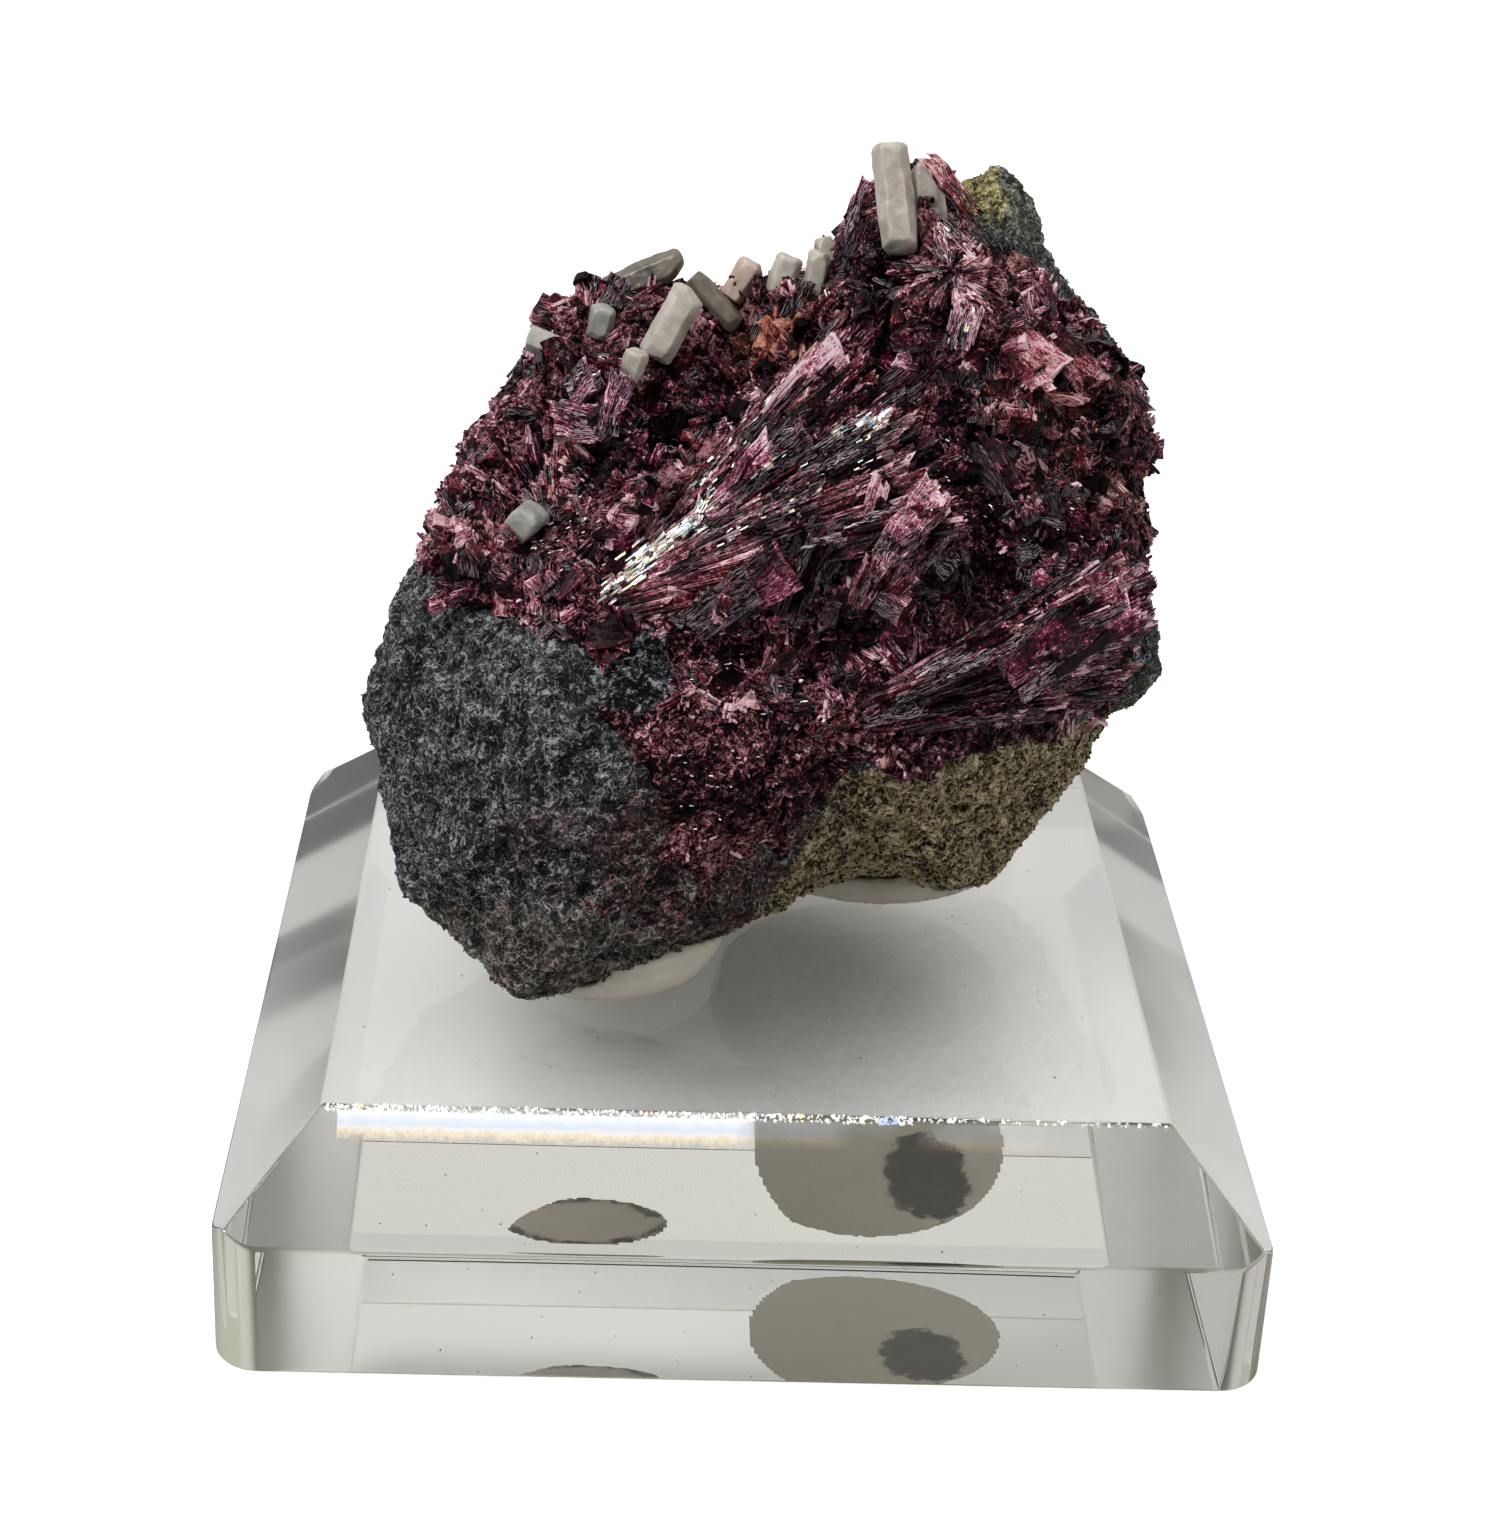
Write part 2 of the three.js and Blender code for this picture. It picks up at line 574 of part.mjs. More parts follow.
// Putty pad: a pressed oval disc with a soft rim, dented by the rock
function makePad({ x, y, halfWidth, halfLength }) {
  const rim = Array.from({ length: 5 }, (_, i) => {
    const angle = ((i / 4) * 2 - 1) * (Math.PI / 2);
    const rise = (Math.sin(angle) + 1) / 2;
    return new THREE.Vector2(halfWidth - PAD_RIM * (1 - Math.cos(angle)), rise * PAD_THICKNESS);
  });
  const profile = [new THREE.Vector2(0, 0), ...rim, new THREE.Vector2(0, PAD_THICKNESS)];
  const pad = new THREE.LatheGeometry(profile, PAD_SIDES);
  pad.rotateX(Math.PI / 2);
  pad.scale(1, halfLength / halfWidth, 1);
  pad.translate(x, y, BLOCK_HEIGHT);
  const above = geometryOf(lump).applyMatrix4(stand.matrixWorld);
  const dent = above.clone().translate(0, 0, -GAP);
  return geometryOf(biggestPart(solidOf(pad).subtract(solidOf(dent)).subtract(solidOf(above))));
}

stand.add(piece("matrix_rock", geometryOf(rock), ROCK_FINISH));
stand.add(piece("erythrite_crystals", geometryOf(crust), ERYTHRITE_FINISH));
PALE_CRYSTALS.forEach((crystal) => {
  const finish = crystal.name.startsWith("grey") ? GREY_FINISH : PALE_FINISH;
  stand.add(piece(crystal.name, geometryOf(makePrism(crystal, 0)), finish));
});

const specimen = new THREE.Group();
specimen.add(piece("acrylic_block", makeBlock(), ACRYLIC_FINISH));
specimen.add(piece("putty_pad_front", makePad(FRONT_PAD), PUTTY_FINISH));
specimen.add(piece("putty_pad_back", makePad(BACK_PAD), PUTTY_FINISH));
specimen.add(stand);

export default specimen;
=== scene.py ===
import math

import bmesh
import bpy
import numpy as np
from mathutils import Matrix, Vector
from mathutils import noise as mathutils_noise
from mathutils.bvhtree import BVHTree


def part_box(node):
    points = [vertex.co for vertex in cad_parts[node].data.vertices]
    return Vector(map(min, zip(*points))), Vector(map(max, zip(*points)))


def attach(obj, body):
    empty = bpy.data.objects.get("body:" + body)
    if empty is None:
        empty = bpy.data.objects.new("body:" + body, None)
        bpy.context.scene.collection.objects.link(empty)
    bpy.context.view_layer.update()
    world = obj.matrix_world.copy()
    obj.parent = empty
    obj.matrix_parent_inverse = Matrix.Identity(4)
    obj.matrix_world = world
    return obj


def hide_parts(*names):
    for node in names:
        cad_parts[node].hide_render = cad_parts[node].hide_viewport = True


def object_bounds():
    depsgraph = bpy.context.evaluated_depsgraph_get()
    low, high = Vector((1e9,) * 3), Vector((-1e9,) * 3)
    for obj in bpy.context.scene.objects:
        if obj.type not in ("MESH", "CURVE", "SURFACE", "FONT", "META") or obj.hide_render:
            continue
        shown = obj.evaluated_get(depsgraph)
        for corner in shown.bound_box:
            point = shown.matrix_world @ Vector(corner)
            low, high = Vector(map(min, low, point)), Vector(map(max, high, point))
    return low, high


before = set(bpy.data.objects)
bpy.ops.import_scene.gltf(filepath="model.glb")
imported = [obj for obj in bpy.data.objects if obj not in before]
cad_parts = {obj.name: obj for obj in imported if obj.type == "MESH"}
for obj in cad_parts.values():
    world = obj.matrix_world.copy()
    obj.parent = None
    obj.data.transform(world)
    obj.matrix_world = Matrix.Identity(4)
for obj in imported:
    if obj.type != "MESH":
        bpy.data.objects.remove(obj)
cad_low, cad_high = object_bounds()
MM = 0.001
print("solids in the frame:", len(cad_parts))
print("their box in mm:", [round(size / MM, 2) for size in cad_high - cad_low])

# %% [markdown]
# ## The camera
# The block is square, so its corners in the picture fix the camera: where it stands, which way it looks and
# how long its lens is. It stands about 18 cm away and looks down by a quarter of a right angle.
# It could be aimed with a constraint. A plain matrix from three angles is easier to read, and it gives the
# small roll too.
# %% Camera
PICTURE_LONG_SIDE = 1535
FOCAL_PIXELS = 3207
CAMERA_PLACE = Vector((-6.4, -151.8, 93.1)) * MM
AZIMUTH, ELEVATION, ROLL = (math.radians(angle) for angle in (-2.53, 25.49, 2.72))


def make_camera():
    backward = Vector((
        math.sin(AZIMUTH) * math.cos(ELEVATION),
        -math.cos(AZIMUTH) * math.cos(ELEVATION),
        math.sin(ELEVATION),
    ))
    level = Vector((math.cos(AZIMUTH), math.sin(AZIMUTH), 0))
    above = backward.cross(level)
    right = level * math.cos(ROLL) + above * math.sin(ROLL)
    up = backward.cross(right)
    data = bpy.data.cameras.new("camera")
    data.lens = FOCAL_PIXELS / PICTURE_LONG_SIDE * data.sensor_width
    data.clip_start = 1 * MM
    camera = bpy.data.objects.new("camera", data)
    bpy.context.scene.collection.objects.link(camera)
    turned = Matrix((right, up, backward)).transposed().to_4x4()
    camera.matrix_world = Matrix.Translation(CAMERA_PLACE) @ turned
    bpy.context.scene.camera = camera
    return camera


camera = make_camera()
print("lens in mm:", round(camera.data.lens, 1))

# %% [markdown]
# ## The specimen's own axes
# The specimen leans back by about 25 degrees and is turned a little. Its features are easiest to describe as
# seen from its face: x to the right, y up the face and z out of it, in millimetres from its middle.
# These two functions change between that view and the frame, so each feature needs only a few round numbers.
# %% From the specimen's face to the frame and back
SPECIMEN_MIDDLE = np.array([0.5, 2.0, 30.75])
LEAN, TURN = math.radians(64.5), math.radians(-2.5)
AXES = np.array(Matrix.Rotation(TURN, 3, "Z") @ Matrix.Rotation(LEAN, 3, "X"))


def to_frame(points):
    return (np.atleast_2d(points) @ AXES.T + SPECIMEN_MIDDLE) * MM


def to_face(points):
    return (np.atleast_2d(points) / MM - SPECIMEN_MIDDLE) @ AXES


def unit(vectors):
    return vectors / np.maximum(np.linalg.norm(vectors, axis=-1, keepdims=True), 1e-12)


print("out of the face:", AXES[:, 2].round(2))

# %% [markdown]
# ## Small helpers for nodes
# Materials and Geometry Nodes are both trees of nodes. One helper fills a node's sockets, with plain values or
# with other nodes' outputs, and another adds a node and fills it at once. A third adds one weighted pattern to
# another, which is most of what a finish does, and a last one starts a group with named inputs and outputs.
# %% Node helpers
FLOAT, VECTOR, GEOMETRY = "NodeSocketFloat", "NodeSocketVector", "NodeSocketGeometry"
WHOLE, WORDS, MATERIAL = "NodeSocketInt", "NodeSocketString", "NodeSocketMaterial"


def fill(tree, node, values):
    """Links each named socket to another node's output, or sets it to a plain value."""
    for socket, value in values.items():
        if isinstance(value, bpy.types.NodeSocket):
            tree.links.new(value, node.inputs[socket])
        else:
            node.inputs[socket].default_value = value


def add_node(tree, kind, values=None, **settings):
    made = tree.nodes.new(kind)
    for name, value in settings.items():
        setattr(made, name, value)
    fill(tree, made, values or {})
    return made


def calc(tree, operation, first, second=0.0, clamp=False):
    settings = {"operation": operation, "use_clamp": clamp}
    return add_node(tree, "ShaderNodeMath", {0: first, 1: second}, **settings).outputs[0]


def plus(tree, total, pattern, weight, middle=0.0, clamp=False):
    """Adds a pattern to a total: the pattern less its middle value, times its weight."""
    if middle:
        pattern = calc(tree, "SUBTRACT", pattern, middle)
    return calc(tree, "ADD", total, calc(tree, "MULTIPLY", pattern, weight), clamp)


def vector_calc(tree, operation, first, second):
    other = "Scale" if operation == "SCALE" else 1
    return add_node(tree, "ShaderNodeVectorMath", {0: first, other: second}, operation=operation).outputs[0]


def between(tree, value, low, high):
    """Nought where value is under low, one where it is over high, and a smooth rise in the middle."""
    values = {"Value": value, "From Min": low, "From Max": high}
    return add_node(tree, "ShaderNodeMapRange", values, interpolation_type="SMOOTHSTEP").outputs[0]


def mix(tree, factor, first, second):
    return add_node(tree, "ShaderNodeMix", {0: factor, 6: first, 7: second}, data_type="RGBA").outputs[2]


def noise(tree, place, scale, detail=3.0, roughness=0.55):
    values = {"Vector": place, "Scale": scale, "Detail": detail, "Roughness": roughness}
    return add_node(tree, "ShaderNodeTexNoise", values).outputs["Fac"]


def ramp(tree, value, stops):
    made = add_node(tree, "ShaderNodeValToRGB", {0: value})
    while len(made.color_ramp.elements) < len(stops):
        made.color_ramp.elements.new(1.0)
    for element, (position, colour) in zip(made.color_ramp.elements, stops):
        element.position = position
        element.color = (*colour, 1.0)
    return made.outputs["Color"]


def attribute(tree, name, output="Fac"):
    return add_node(tree, "ShaderNodeAttribute", attribute_name=name).outputs[output]


def new_group(name, kind, given, result):
    tree = bpy.data.node_groups.new(name, kind)
    for label, socket_type, value in given:
        socket = tree.interface.new_socket(label, in_out="INPUT", socket_type=socket_type)
        if value is not None:
            socket.default_value = value
    for label, socket_type in result:
        tree.interface.new_socket(label, in_out="OUTPUT", socket_type=socket_type)
    start = tree.nodes.new("NodeGroupInput")
    end = tree.nodes.new("NodeGroupOutput")
    return tree, start.outputs, end


def new_material(name):
    """A material with its shader and the place on the piece that its patterns read."""
    material = bpy.data.materials.new(name)
    material.use_nodes = True
    tree = material.node_tree
    place = add_node(tree, "ShaderNodeTexCoord").outputs["Object"]
    return material, tree, tree.nodes["Principled BSDF"], place


def bump(tree, height, strength, distance):
    values = {"Height": height, "Strength": strength, "Distance": distance}
    return add_node(tree, "ShaderNodeBump", values).outputs["Normal"]


print("helpers ready")

# %% [markdown]
# ## Patterns that several finishes share
# Broken rock is a mass of grains, each a little lighter or darker than the next. A crystal lath has fine lines
# along its length, where it grew in layers. Both could be painted, but a pattern worked out from the place on
# the piece has no seams. Creases are the places where a noise is just at its middle value, which makes thin
# wandering lines. Each pattern is a group, so that every finish can use it with its own size.
# %% Grain pattern
def make_grain_group():
    given = [("Place", VECTOR, None), ("Scale", FLOAT, 4000.0), ("Patches", FLOAT, 500.0)]
    result = [("Speckle", FLOAT), ("Height", FLOAT)]
    tree, start, end = new_group("mineral grain", "ShaderNodeTree", given, result)
    values = {"Vector": start["Place"], "Scale": start["Scale"]}
    cells = add_node(tree, "ShaderNodeTexVoronoi", values).outputs
    fine = noise(tree, start["Place"], start["Scale"], 4.0, 0.7)
    broad = noise(tree, start["Place"], start["Patches"], 3.0)
    tone = add_node(tree, "ShaderNodeSeparateColor", {0: cells["Color"]}).outputs[0]
    speckle = plus(tree, calc(tree, "MULTIPLY", tone, 0.4), fine, 0.5)
    speckle = plus(tree, speckle, broad, 0.7, middle=0.5)
    fill(tree, end, {"Speckle": speckle, "Height": plus(tree, fine, cells["Distance"], -0.5)})
    return tree


def grain_pattern(tree, place, scale, patches=500.0):
    values = {"Place": place, "Scale": scale, "Patches": patches}
    return add_node(tree, "ShaderNodeGroup", values, node_tree=grain_group).outputs


grain_group = make_grain_group()
print("group:", grain_group.name)

# %% Crinkle pattern
def make_crinkle_group():
    given = [("Place", VECTOR, None), ("Scale", FLOAT, 1500.0), ("Width", FLOAT, 0.05)]
    tree, start, end = new_group("crinkled lines", "ShaderNodeTree", given, [("Crinkle", FLOAT)])
    total = 0.0
    for times, strength in ((1.0, 0.55), (2.4, 0.5)):
        scale = calc(tree, "MULTIPLY", start["Scale"], times)
        values = {"Vector": start["Place"], "Scale": scale, "Detail": 2.0, "Distortion": 0.7}
        wave = add_node(tree, "ShaderNodeTexNoise", values).outputs["Fac"]
        away = calc(tree, "ABSOLUTE", calc(tree, "SUBTRACT", wave, 0.5))
        total = plus(tree, total, between(tree, away, start["Width"], 0.0), strength)
    fill(tree, end, {"Crinkle": total})
    return tree


def crinkle(tree, place, scale, width):
    """Fine bright lines that wander and close on themselves, like the creases of crumpled foil."""
    values = {"Place": place, "Scale": scale, "Width": width}
    return add_node(tree, "ShaderNodeGroup", values, node_tree=crinkle_group).outputs["Crinkle"]


crinkle_group = make_crinkle_group()
print("group:", crinkle_group.name)

# %% Growth lines pattern
LATH_PLACE = "lath_place"
LATH_SIZE = "size"
LATH_TINT = "tint"
# each lath reads its own part of the noise, drawn out along its length, and has a rim of this width
LATHS_APART = (31.0, 57.0, 83.0)
LENGTHWISE = (0.05, 1.0, 1.0)
RIM_WIDTH = 0.06 * MM


def make_line_group():
    given = [("Lines per mm", FLOAT, 16.0)]
    result = [("Line", FLOAT), ("Patch", FLOAT), ("Edge", FLOAT), ("Along", FLOAT)]
    tree, start, end = new_group("growth lines", "ShaderNodeTree", given, result)
    place = attribute(tree, LATH_PLACE, "Vector")
    size = attribute(tree, LATH_SIZE, "Vector")
    in_mm = vector_calc(tree, "SCALE", vector_calc(tree, "MULTIPLY", place, size), 1 / MM)
    apart = vector_calc(tree, "MULTIPLY", attribute(tree, LATH_TINT, "Vector"), LATHS_APART)
    moved = vector_calc(tree, "ADD", in_mm, apart)
    values = {"Vector": moved, "Scale": 1.1, "Detail": 2.0}
    sway = add_node(tree, "ShaderNodeTexNoise", values).outputs["Color"]
    swayed = vector_calc(tree, "ADD", moved, vector_calc(tree, "SCALE", sway, 0.3))
    drawn = vector_calc(tree, "MULTIPLY", swayed, LENGTHWISE)
    along, across, _ = add_node(tree, "ShaderNodeSeparateXYZ", {0: place}).outputs
    length, width, _ = add_node(tree, "ShaderNodeSeparateXYZ", {0: size}).outputs
    to_side = calc(tree, "MULTIPLY", calc(tree, "SUBTRACT", 0.5, calc(tree, "ABSOLUTE", across)), width)
    to_tip = calc(tree, "MULTIPLY", calc(tree, "SUBTRACT", 1.0, along), length)
    fill(tree, end, {
        "Line": noise(tree, drawn, start["Lines per mm"], 2.0, 0.6),
        "Patch": noise(tree, moved, 1.4, 2.0, 0.6),
        "Edge": between(tree, calc(tree, "MINIMUM", to_side, to_tip), RIM_WIDTH, 0.0),
        "Along": along,
    })
    return tree


def growth_lines(tree, lines_per_mm):
    values = {"Lines per mm": lines_per_mm}
    return add_node(tree, "ShaderNodeGroup", values, node_tree=line_group).outputs


line_group = make_line_group()
print("group:", line_group.name)

# %% [markdown]
# ## Finishes of the rock
# The host rock is dark grey and rough on the left, olive with dark specks at the lower right and stained
# red-brown in between. The zones run into each other, so one finish holds them all. The mesh carries how far
# each point is inside a zone's outline, and a little noise makes the border ragged, as it is in nature.
# %% Tones of the rock
GREY_TONES = [
    (0.3, (0.004, 0.004, 0.005)),
    (0.5, (0.03, 0.031, 0.036)),
    (0.68, (0.125, 0.128, 0.142)),
    (0.95, (0.4, 0.41, 0.43)),
]
OLIVE_TONES = [
    (0.32, (0.012, 0.008, 0.004)),
    (0.46, (0.16, 0.125, 0.062)),
    (0.62, (0.44, 0.36, 0.2)),
    (0.92, (0.72, 0.62, 0.42)),
]
DARK_TONES = [
    (0.3, (0.004, 0.003, 0.003)),
    (0.5, (0.028, 0.02, 0.02)),
    (0.68, (0.11, 0.085, 0.078)),
    (0.95, (0.36, 0.3, 0.28)),
]
RED_TONES = [
    (0.34, (0.005, 0.0015, 0.002)),
    (0.5, (0.055, 0.011, 0.014)),
    (0.66, (0.19, 0.05, 0.055)),
    (0.95, (0.42, 0.2, 0.2)),
]
BED_TONES = [
    (0.34, (0.002, 0.001, 0.0013)),
    (0.5, (0.024, 0.0055, 0.009)),
    (0.66, (0.105, 0.026, 0.036)),
    (0.95, (0.42, 0.2, 0.23)),
]
BROWN_TONES = [
    (0.3, (0.012, 0.01, 0.008)),
    (0.5, (0.07, 0.058, 0.05)),
    (0.68, (0.19, 0.165, 0.145)),
    (0.95, (0.42, 0.38, 0.34)),
]
TIP_TONES = [
    (0.3, (0.03, 0.033, 0.028)),
    (0.5, (0.11, 0.115, 0.095)),
    (0.7, (0.25, 0.25, 0.21)),
    (0.95, (0.5, 0.48, 0.42)),
]
SULPHUR_TONES = [
    (0.3, (0.07, 0.055, 0.016)),
    (0.5, (0.3, 0.26, 0.09)),
    (0.7, (0.5, 0.46, 0.22)),
    (0.95, (0.7, 0.66, 0.42)),
]
print("darkest and palest grey:", GREY_TONES[0][1], GREY_TONES[-1][1])

# %% Rock finish
def zone_mask(tree, name, wander, ragged):
    """How far a point is inside a painted zone, with a border that wanders."""
    inside = plus(tree, attribute(tree, name), wander, ragged, middle=0.5)
    return between(tree, inside, -0.35, 0.35)


def make_rock_finish():
    material, tree, shader, place = new_material("host rock")
    grain = grain_pattern(tree, place, 5200.0, 420.0)
    creases = crinkle(tree, place, 1300.0, 0.042)
    speckle = plus(tree, 0.17, grain["Speckle"], 0.6)
    # painted shade and light: the hollows of the relief are darker and its crests lighter
    speckle = plus(tree, speckle, attribute(tree, "relief"), 0.9)
    speckle = plus(tree, speckle, creases, 0.85, middle=0.22)
    grey, dark, red, brown, olive, tip, sulphur = (
        ramp(tree, speckle, tones)
        for tones in (GREY_TONES, DARK_TONES, RED_TONES, BROWN_TONES, OLIVE_TONES, TIP_TONES, SULPHUR_TONES)
    )
    wander = noise(tree, place, 700.0, 4.0, 0.65)
    dark_patch = between(tree, noise(tree, place, 160.0, 3.0, 0.6), 0.5, 0.7)
    patches = between(tree, noise(tree, place, 800.0, 4.0, 0.7), 0.5, 0.6)
    colour = mix(tree, dark_patch, grey, dark)
    for name, ground, ragged in (
        ("brown", brown, 4.0),
        ("red", mix(tree, patches, dark, red), 9.0),
        ("olive", olive, 3.0),
        ("tip", tip, 3.0),
        ("sulphur", sulphur, 3.0),
    ):
        colour = mix(tree, zone_mask(tree, name, wander, ragged), colour, ground)
    height = calc(tree, "ADD", grain["Height"], creases)
    fill(tree, shader, {
        "Base Color": colour,
        "Roughness": plus(tree, 1.0, speckle, -0.6, clamp=True),
        "Normal": bump(tree, height, 0.9, 0.12 * MM),
        "Specular IOR Level": 0.2,
    })
    return material


rock_finish = make_rock_finish()
print("finish:", rock_finish.name)

# %% Grain finishes
def make_grain_finish(name, tones, roughness):
    material, tree, shader, place = new_material(name)
    fine = noise(tree, place, 9000.0, 2.0)
    tone = plus(tree, calc(tree, "MULTIPLY", attribute(tree, "shade"), 0.45), fine, 0.5)
    fill(tree, shader, {
        "Base Color": ramp(tree, tone, tones),
        "Normal": bump(tree, fine, 0.4, 0.03 * MM),
        "Roughness": roughness,
        "Specular IOR Level": 0.25,
    })
    return material


RED_GRAIN_TONES = [
    (0.3, (0.008, 0.004, 0.004)),
    (0.5, (0.045, 0.018, 0.02)),
    (0.7, (0.15, 0.085, 0.085)),
    (0.95, (0.42, 0.35, 0.33)),
]
grey_grain_finish = make_grain_finish("grey grains", GREY_TONES, 0.6)
olive_grain_finish = make_grain_finish("olive grains", OLIVE_TONES, 0.7)
red_grain_finish = make_grain_finish("red-brown grains", RED_GRAIN_TONES, 0.4)
print("finishes: grey, olive and red-brown grains")

# %% [markdown]
# ## Finishes of the erythrite
# A lath of erythrite is wine red to black where it is thick, crimson to pink where it is thin, and its flat
# cleavage face has a pearly, silvery gloss. Each lath carries three values of its own: how bright, how warm
# and how silvery it is. The same shader then gives every lath its own colour, with the lines along its length.
# %% Tones of the erythrite
LATH_TONES = [
    (0.0, (0.0008, 0.0005, 0.0007)),
    (0.3, (0.008, 0.002, 0.004)),
    (0.5, (0.068, 0.005, 0.017)),
    (0.7, (0.25, 0.024, 0.068)),
    (0.84, (0.47, 0.15, 0.23)),
    (1.0, (0.9, 0.68, 0.76)),
]
WARM_TONES = [
    (0.0, (0.001, 0.0005, 0.0004)),
    (0.4, (0.03, 0.005, 0.003)),
    (0.7, (0.22, 0.04, 0.025)),
    (1.0, (0.6, 0.27, 0.17)),
]
GLEAM_TONES = [
    (0.32, (0.5, 0.24, 0.34)),
    (0.4, (0.86, 0.7, 0.76)),
    (0.46, (0.8, 0.76, 0.3)),
    (0.5, (0.95, 0.88, 0.9)),
    (0.56, (0.9, 0.84, 0.86)),
    (0.6, (0.3, 0.78, 0.62)),
    (0.64, (0.8, 0.72, 0.8)),
    (0.7, (0.34, 0.4, 0.75)),
]
SILVER = (0.82, 0.68, 0.73, 1.0)
WINE = (0.16, 0.05, 0.08, 1.0)
ROSE_GLOSS = (1.0, 0.72, 0.78, 1.0)
# the usual brightness of a lath, from nought to one, and how much of that its thickness swallows
COMMON_BRIGHTNESS = 0.34
THICKNESS_LOSS = 0.19
print("palest lath:", LATH_TONES[-1][1])

# %% Erythrite finishes
def shared_patterns(tree, place):
    """Bright points, which are painted glints, and broad blotches, which run over the laths and the mass under
    them alike.
    """
    painted_sparks = between(tree, noise(tree, place, 5200.0, 1.0), 0.64, 0.7)
    blotch = calc(tree, "SUBTRACT", between(tree, noise(tree, place, 420.0, 3.0), 0.4, 0.6), 0.6)
    return painted_sparks, blotch


def make_lath_finish():
    material, tree, shader, place = new_material("erythrite laths")
    lines = growth_lines(tree, 22.0)
    own = attribute(tree, LATH_TINT, "Vector")
    bright, warm, silver = add_node(tree, "ShaderNodeSeparateXYZ", {0: own}).outputs
    painted_sparks, blotch = shared_patterns(tree, place)
    tone = calc(tree, "SUBTRACT", bright, THICKNESS_LOSS)
    # painted light and shade in the tone: the crinkle and the sparks are painted highlights, the brighter rim
    # is partly the thin edge's own pink and partly a painted highlight, and the darker root is painted shade
    # where the lath is buried among the others
    for pattern, weight in (
        (between(tree, lines["Line"], 0.4, 0.62), 0.35),
        (calc(tree, "SUBTRACT", lines["Patch"], 0.5), 0.75),
        (crinkle(tree, place, 1900.0, 0.045), 0.4),
        (painted_sparks, 0.25),
        (blotch, 0.45),
        (lines["Edge"], 0.36),
        (calc(tree, "SUBTRACT", 1.0, lines["Along"]), -0.2),
    ):
        tone = plus(tree, tone, pattern, weight)
    # the silvery streaks are half metallic gloss and half painted sheen in the base colour
    shine = calc(tree, "MULTIPLY", silver, between(tree, lines["Line"], 0.5, 0.62), clamp=True)
    colour = mix(tree, warm, ramp(tree, tone, LATH_TONES), ramp(tree, tone, WARM_TONES))
    fill(tree, shader, {
        "Base Color": mix(tree, shine, colour, SILVER),
        "Metallic": calc(tree, "MULTIPLY", shine, 0.5),
        "Roughness": plus(tree, 0.1, lines["Patch"], 0.45),
        "Normal": bump(tree, lines["Line"], 0.6, 0.05 * MM),
        "Specular IOR Level": 0.1,
        "Specular Tint": ROSE_GLOSS,
    })
    return material


def make_gleam_finish():
    """Cleavage faces so clean that they split the light into colours."""
    material, tree, shader, place = new_material("erythrite cleavage gleam")
    lines = growth_lines(tree, 12.0)
    gleam = ramp(tree, noise(tree, place, 2100.0, 2.0), GLEAM_TONES)
    fill(tree, shader, {
        "Base Color": mix(tree, between(tree, lines["Line"], 0.36, 0.48), WINE, gleam),
        "Metallic": between(tree, lines["Line"], 0.3, 0.5),
        "Roughness": plus(tree, 0.3, lines["Patch"], 0.4),
        "Normal": bump(tree, lines["Line"], 0.5, 0.04 * MM),
    })
    return material


def make_bed_finish():
    """The close-grown mass under the laths."""
    material, tree, shader, place = new_material("erythrite bed")
    grain = grain_pattern(tree, place, 4200.0)
    # painted shade and light: the hollows of the relief are darker and its crests lighter
    speckle = plus(tree, grain["Speckle"], attribute(tree, "relief"), 0.8)
    painted_sparks, blotch = shared_patterns(tree, place)
    # the crinkle and the sparks are painted highlights, and the patches' brightness brings the painted shade of
    # the hollow and the gullies
    tone = plus(tree, speckle, crinkle(tree, place, 1700.0, 0.05), 0.65, middle=0.35)
    tone = plus(tree, tone, painted_sparks, 0.3)
    tone = plus(tree, tone, blotch, 0.22)
    tone = plus(tree, tone, attribute(tree, "shade"), 0.7, middle=COMMON_BRIGHTNESS)
    ash = zone_mask(tree, "ash", noise(tree, place, 700.0, 4.0, 0.65), 2.0)
    fill(tree, shader, {
        "Base Color": mix(tree, ash, ramp(tree, tone, BED_TONES), ramp(tree, tone, GREY_TONES)),
        "Normal": bump(tree, grain["Height"], 1.0, 0.15 * MM),
        "Roughness": between(tree, speckle, 1.0, 0.1),
        "Specular IOR Level": 0.05,
    })
    return material


lath_finish = make_lath_finish()
gleam_finish = make_gleam_finish()
bed_finish = make_bed_finish()
print("finishes:", lath_finish.name, gleam_finish.name, bed_finish.name)

# %% [markdown]
# ## Finishes of the pale crystals, the putty and the block
# The pale crystals are waxy and let some light in, so light spreads under their surface. The putty does so
# less. The acrylic is clear through and through: it bends light, and a long way through it looks faintly olive.
# %% Finishes of the pale crystals
def make_waxy_finish(name, tones, inside):
    """Inside is how much of the light goes in and comes out again elsewhere."""
    material, tree, shader, place = new_material(name)
    cloud = noise(tree, place, 700.0, 5.0, 0.65)
    fine = noise(tree, place, 3600.0, 3.0, 0.6)
    fill(tree, shader, {
        "Base Color": ramp(tree, cloud, tones),
        "Roughness": plus(tree, 0.2, cloud, 0.35),
        "Normal": bump(tree, fine, 0.25, 0.05 * MM),
        "Subsurface Weight": inside,
        "Subsurface Radius": (1.0, 0.9, 0.75),
        "Subsurface Scale": 0.9 * MM,
        "IOR": 1.55,
    })
    return material


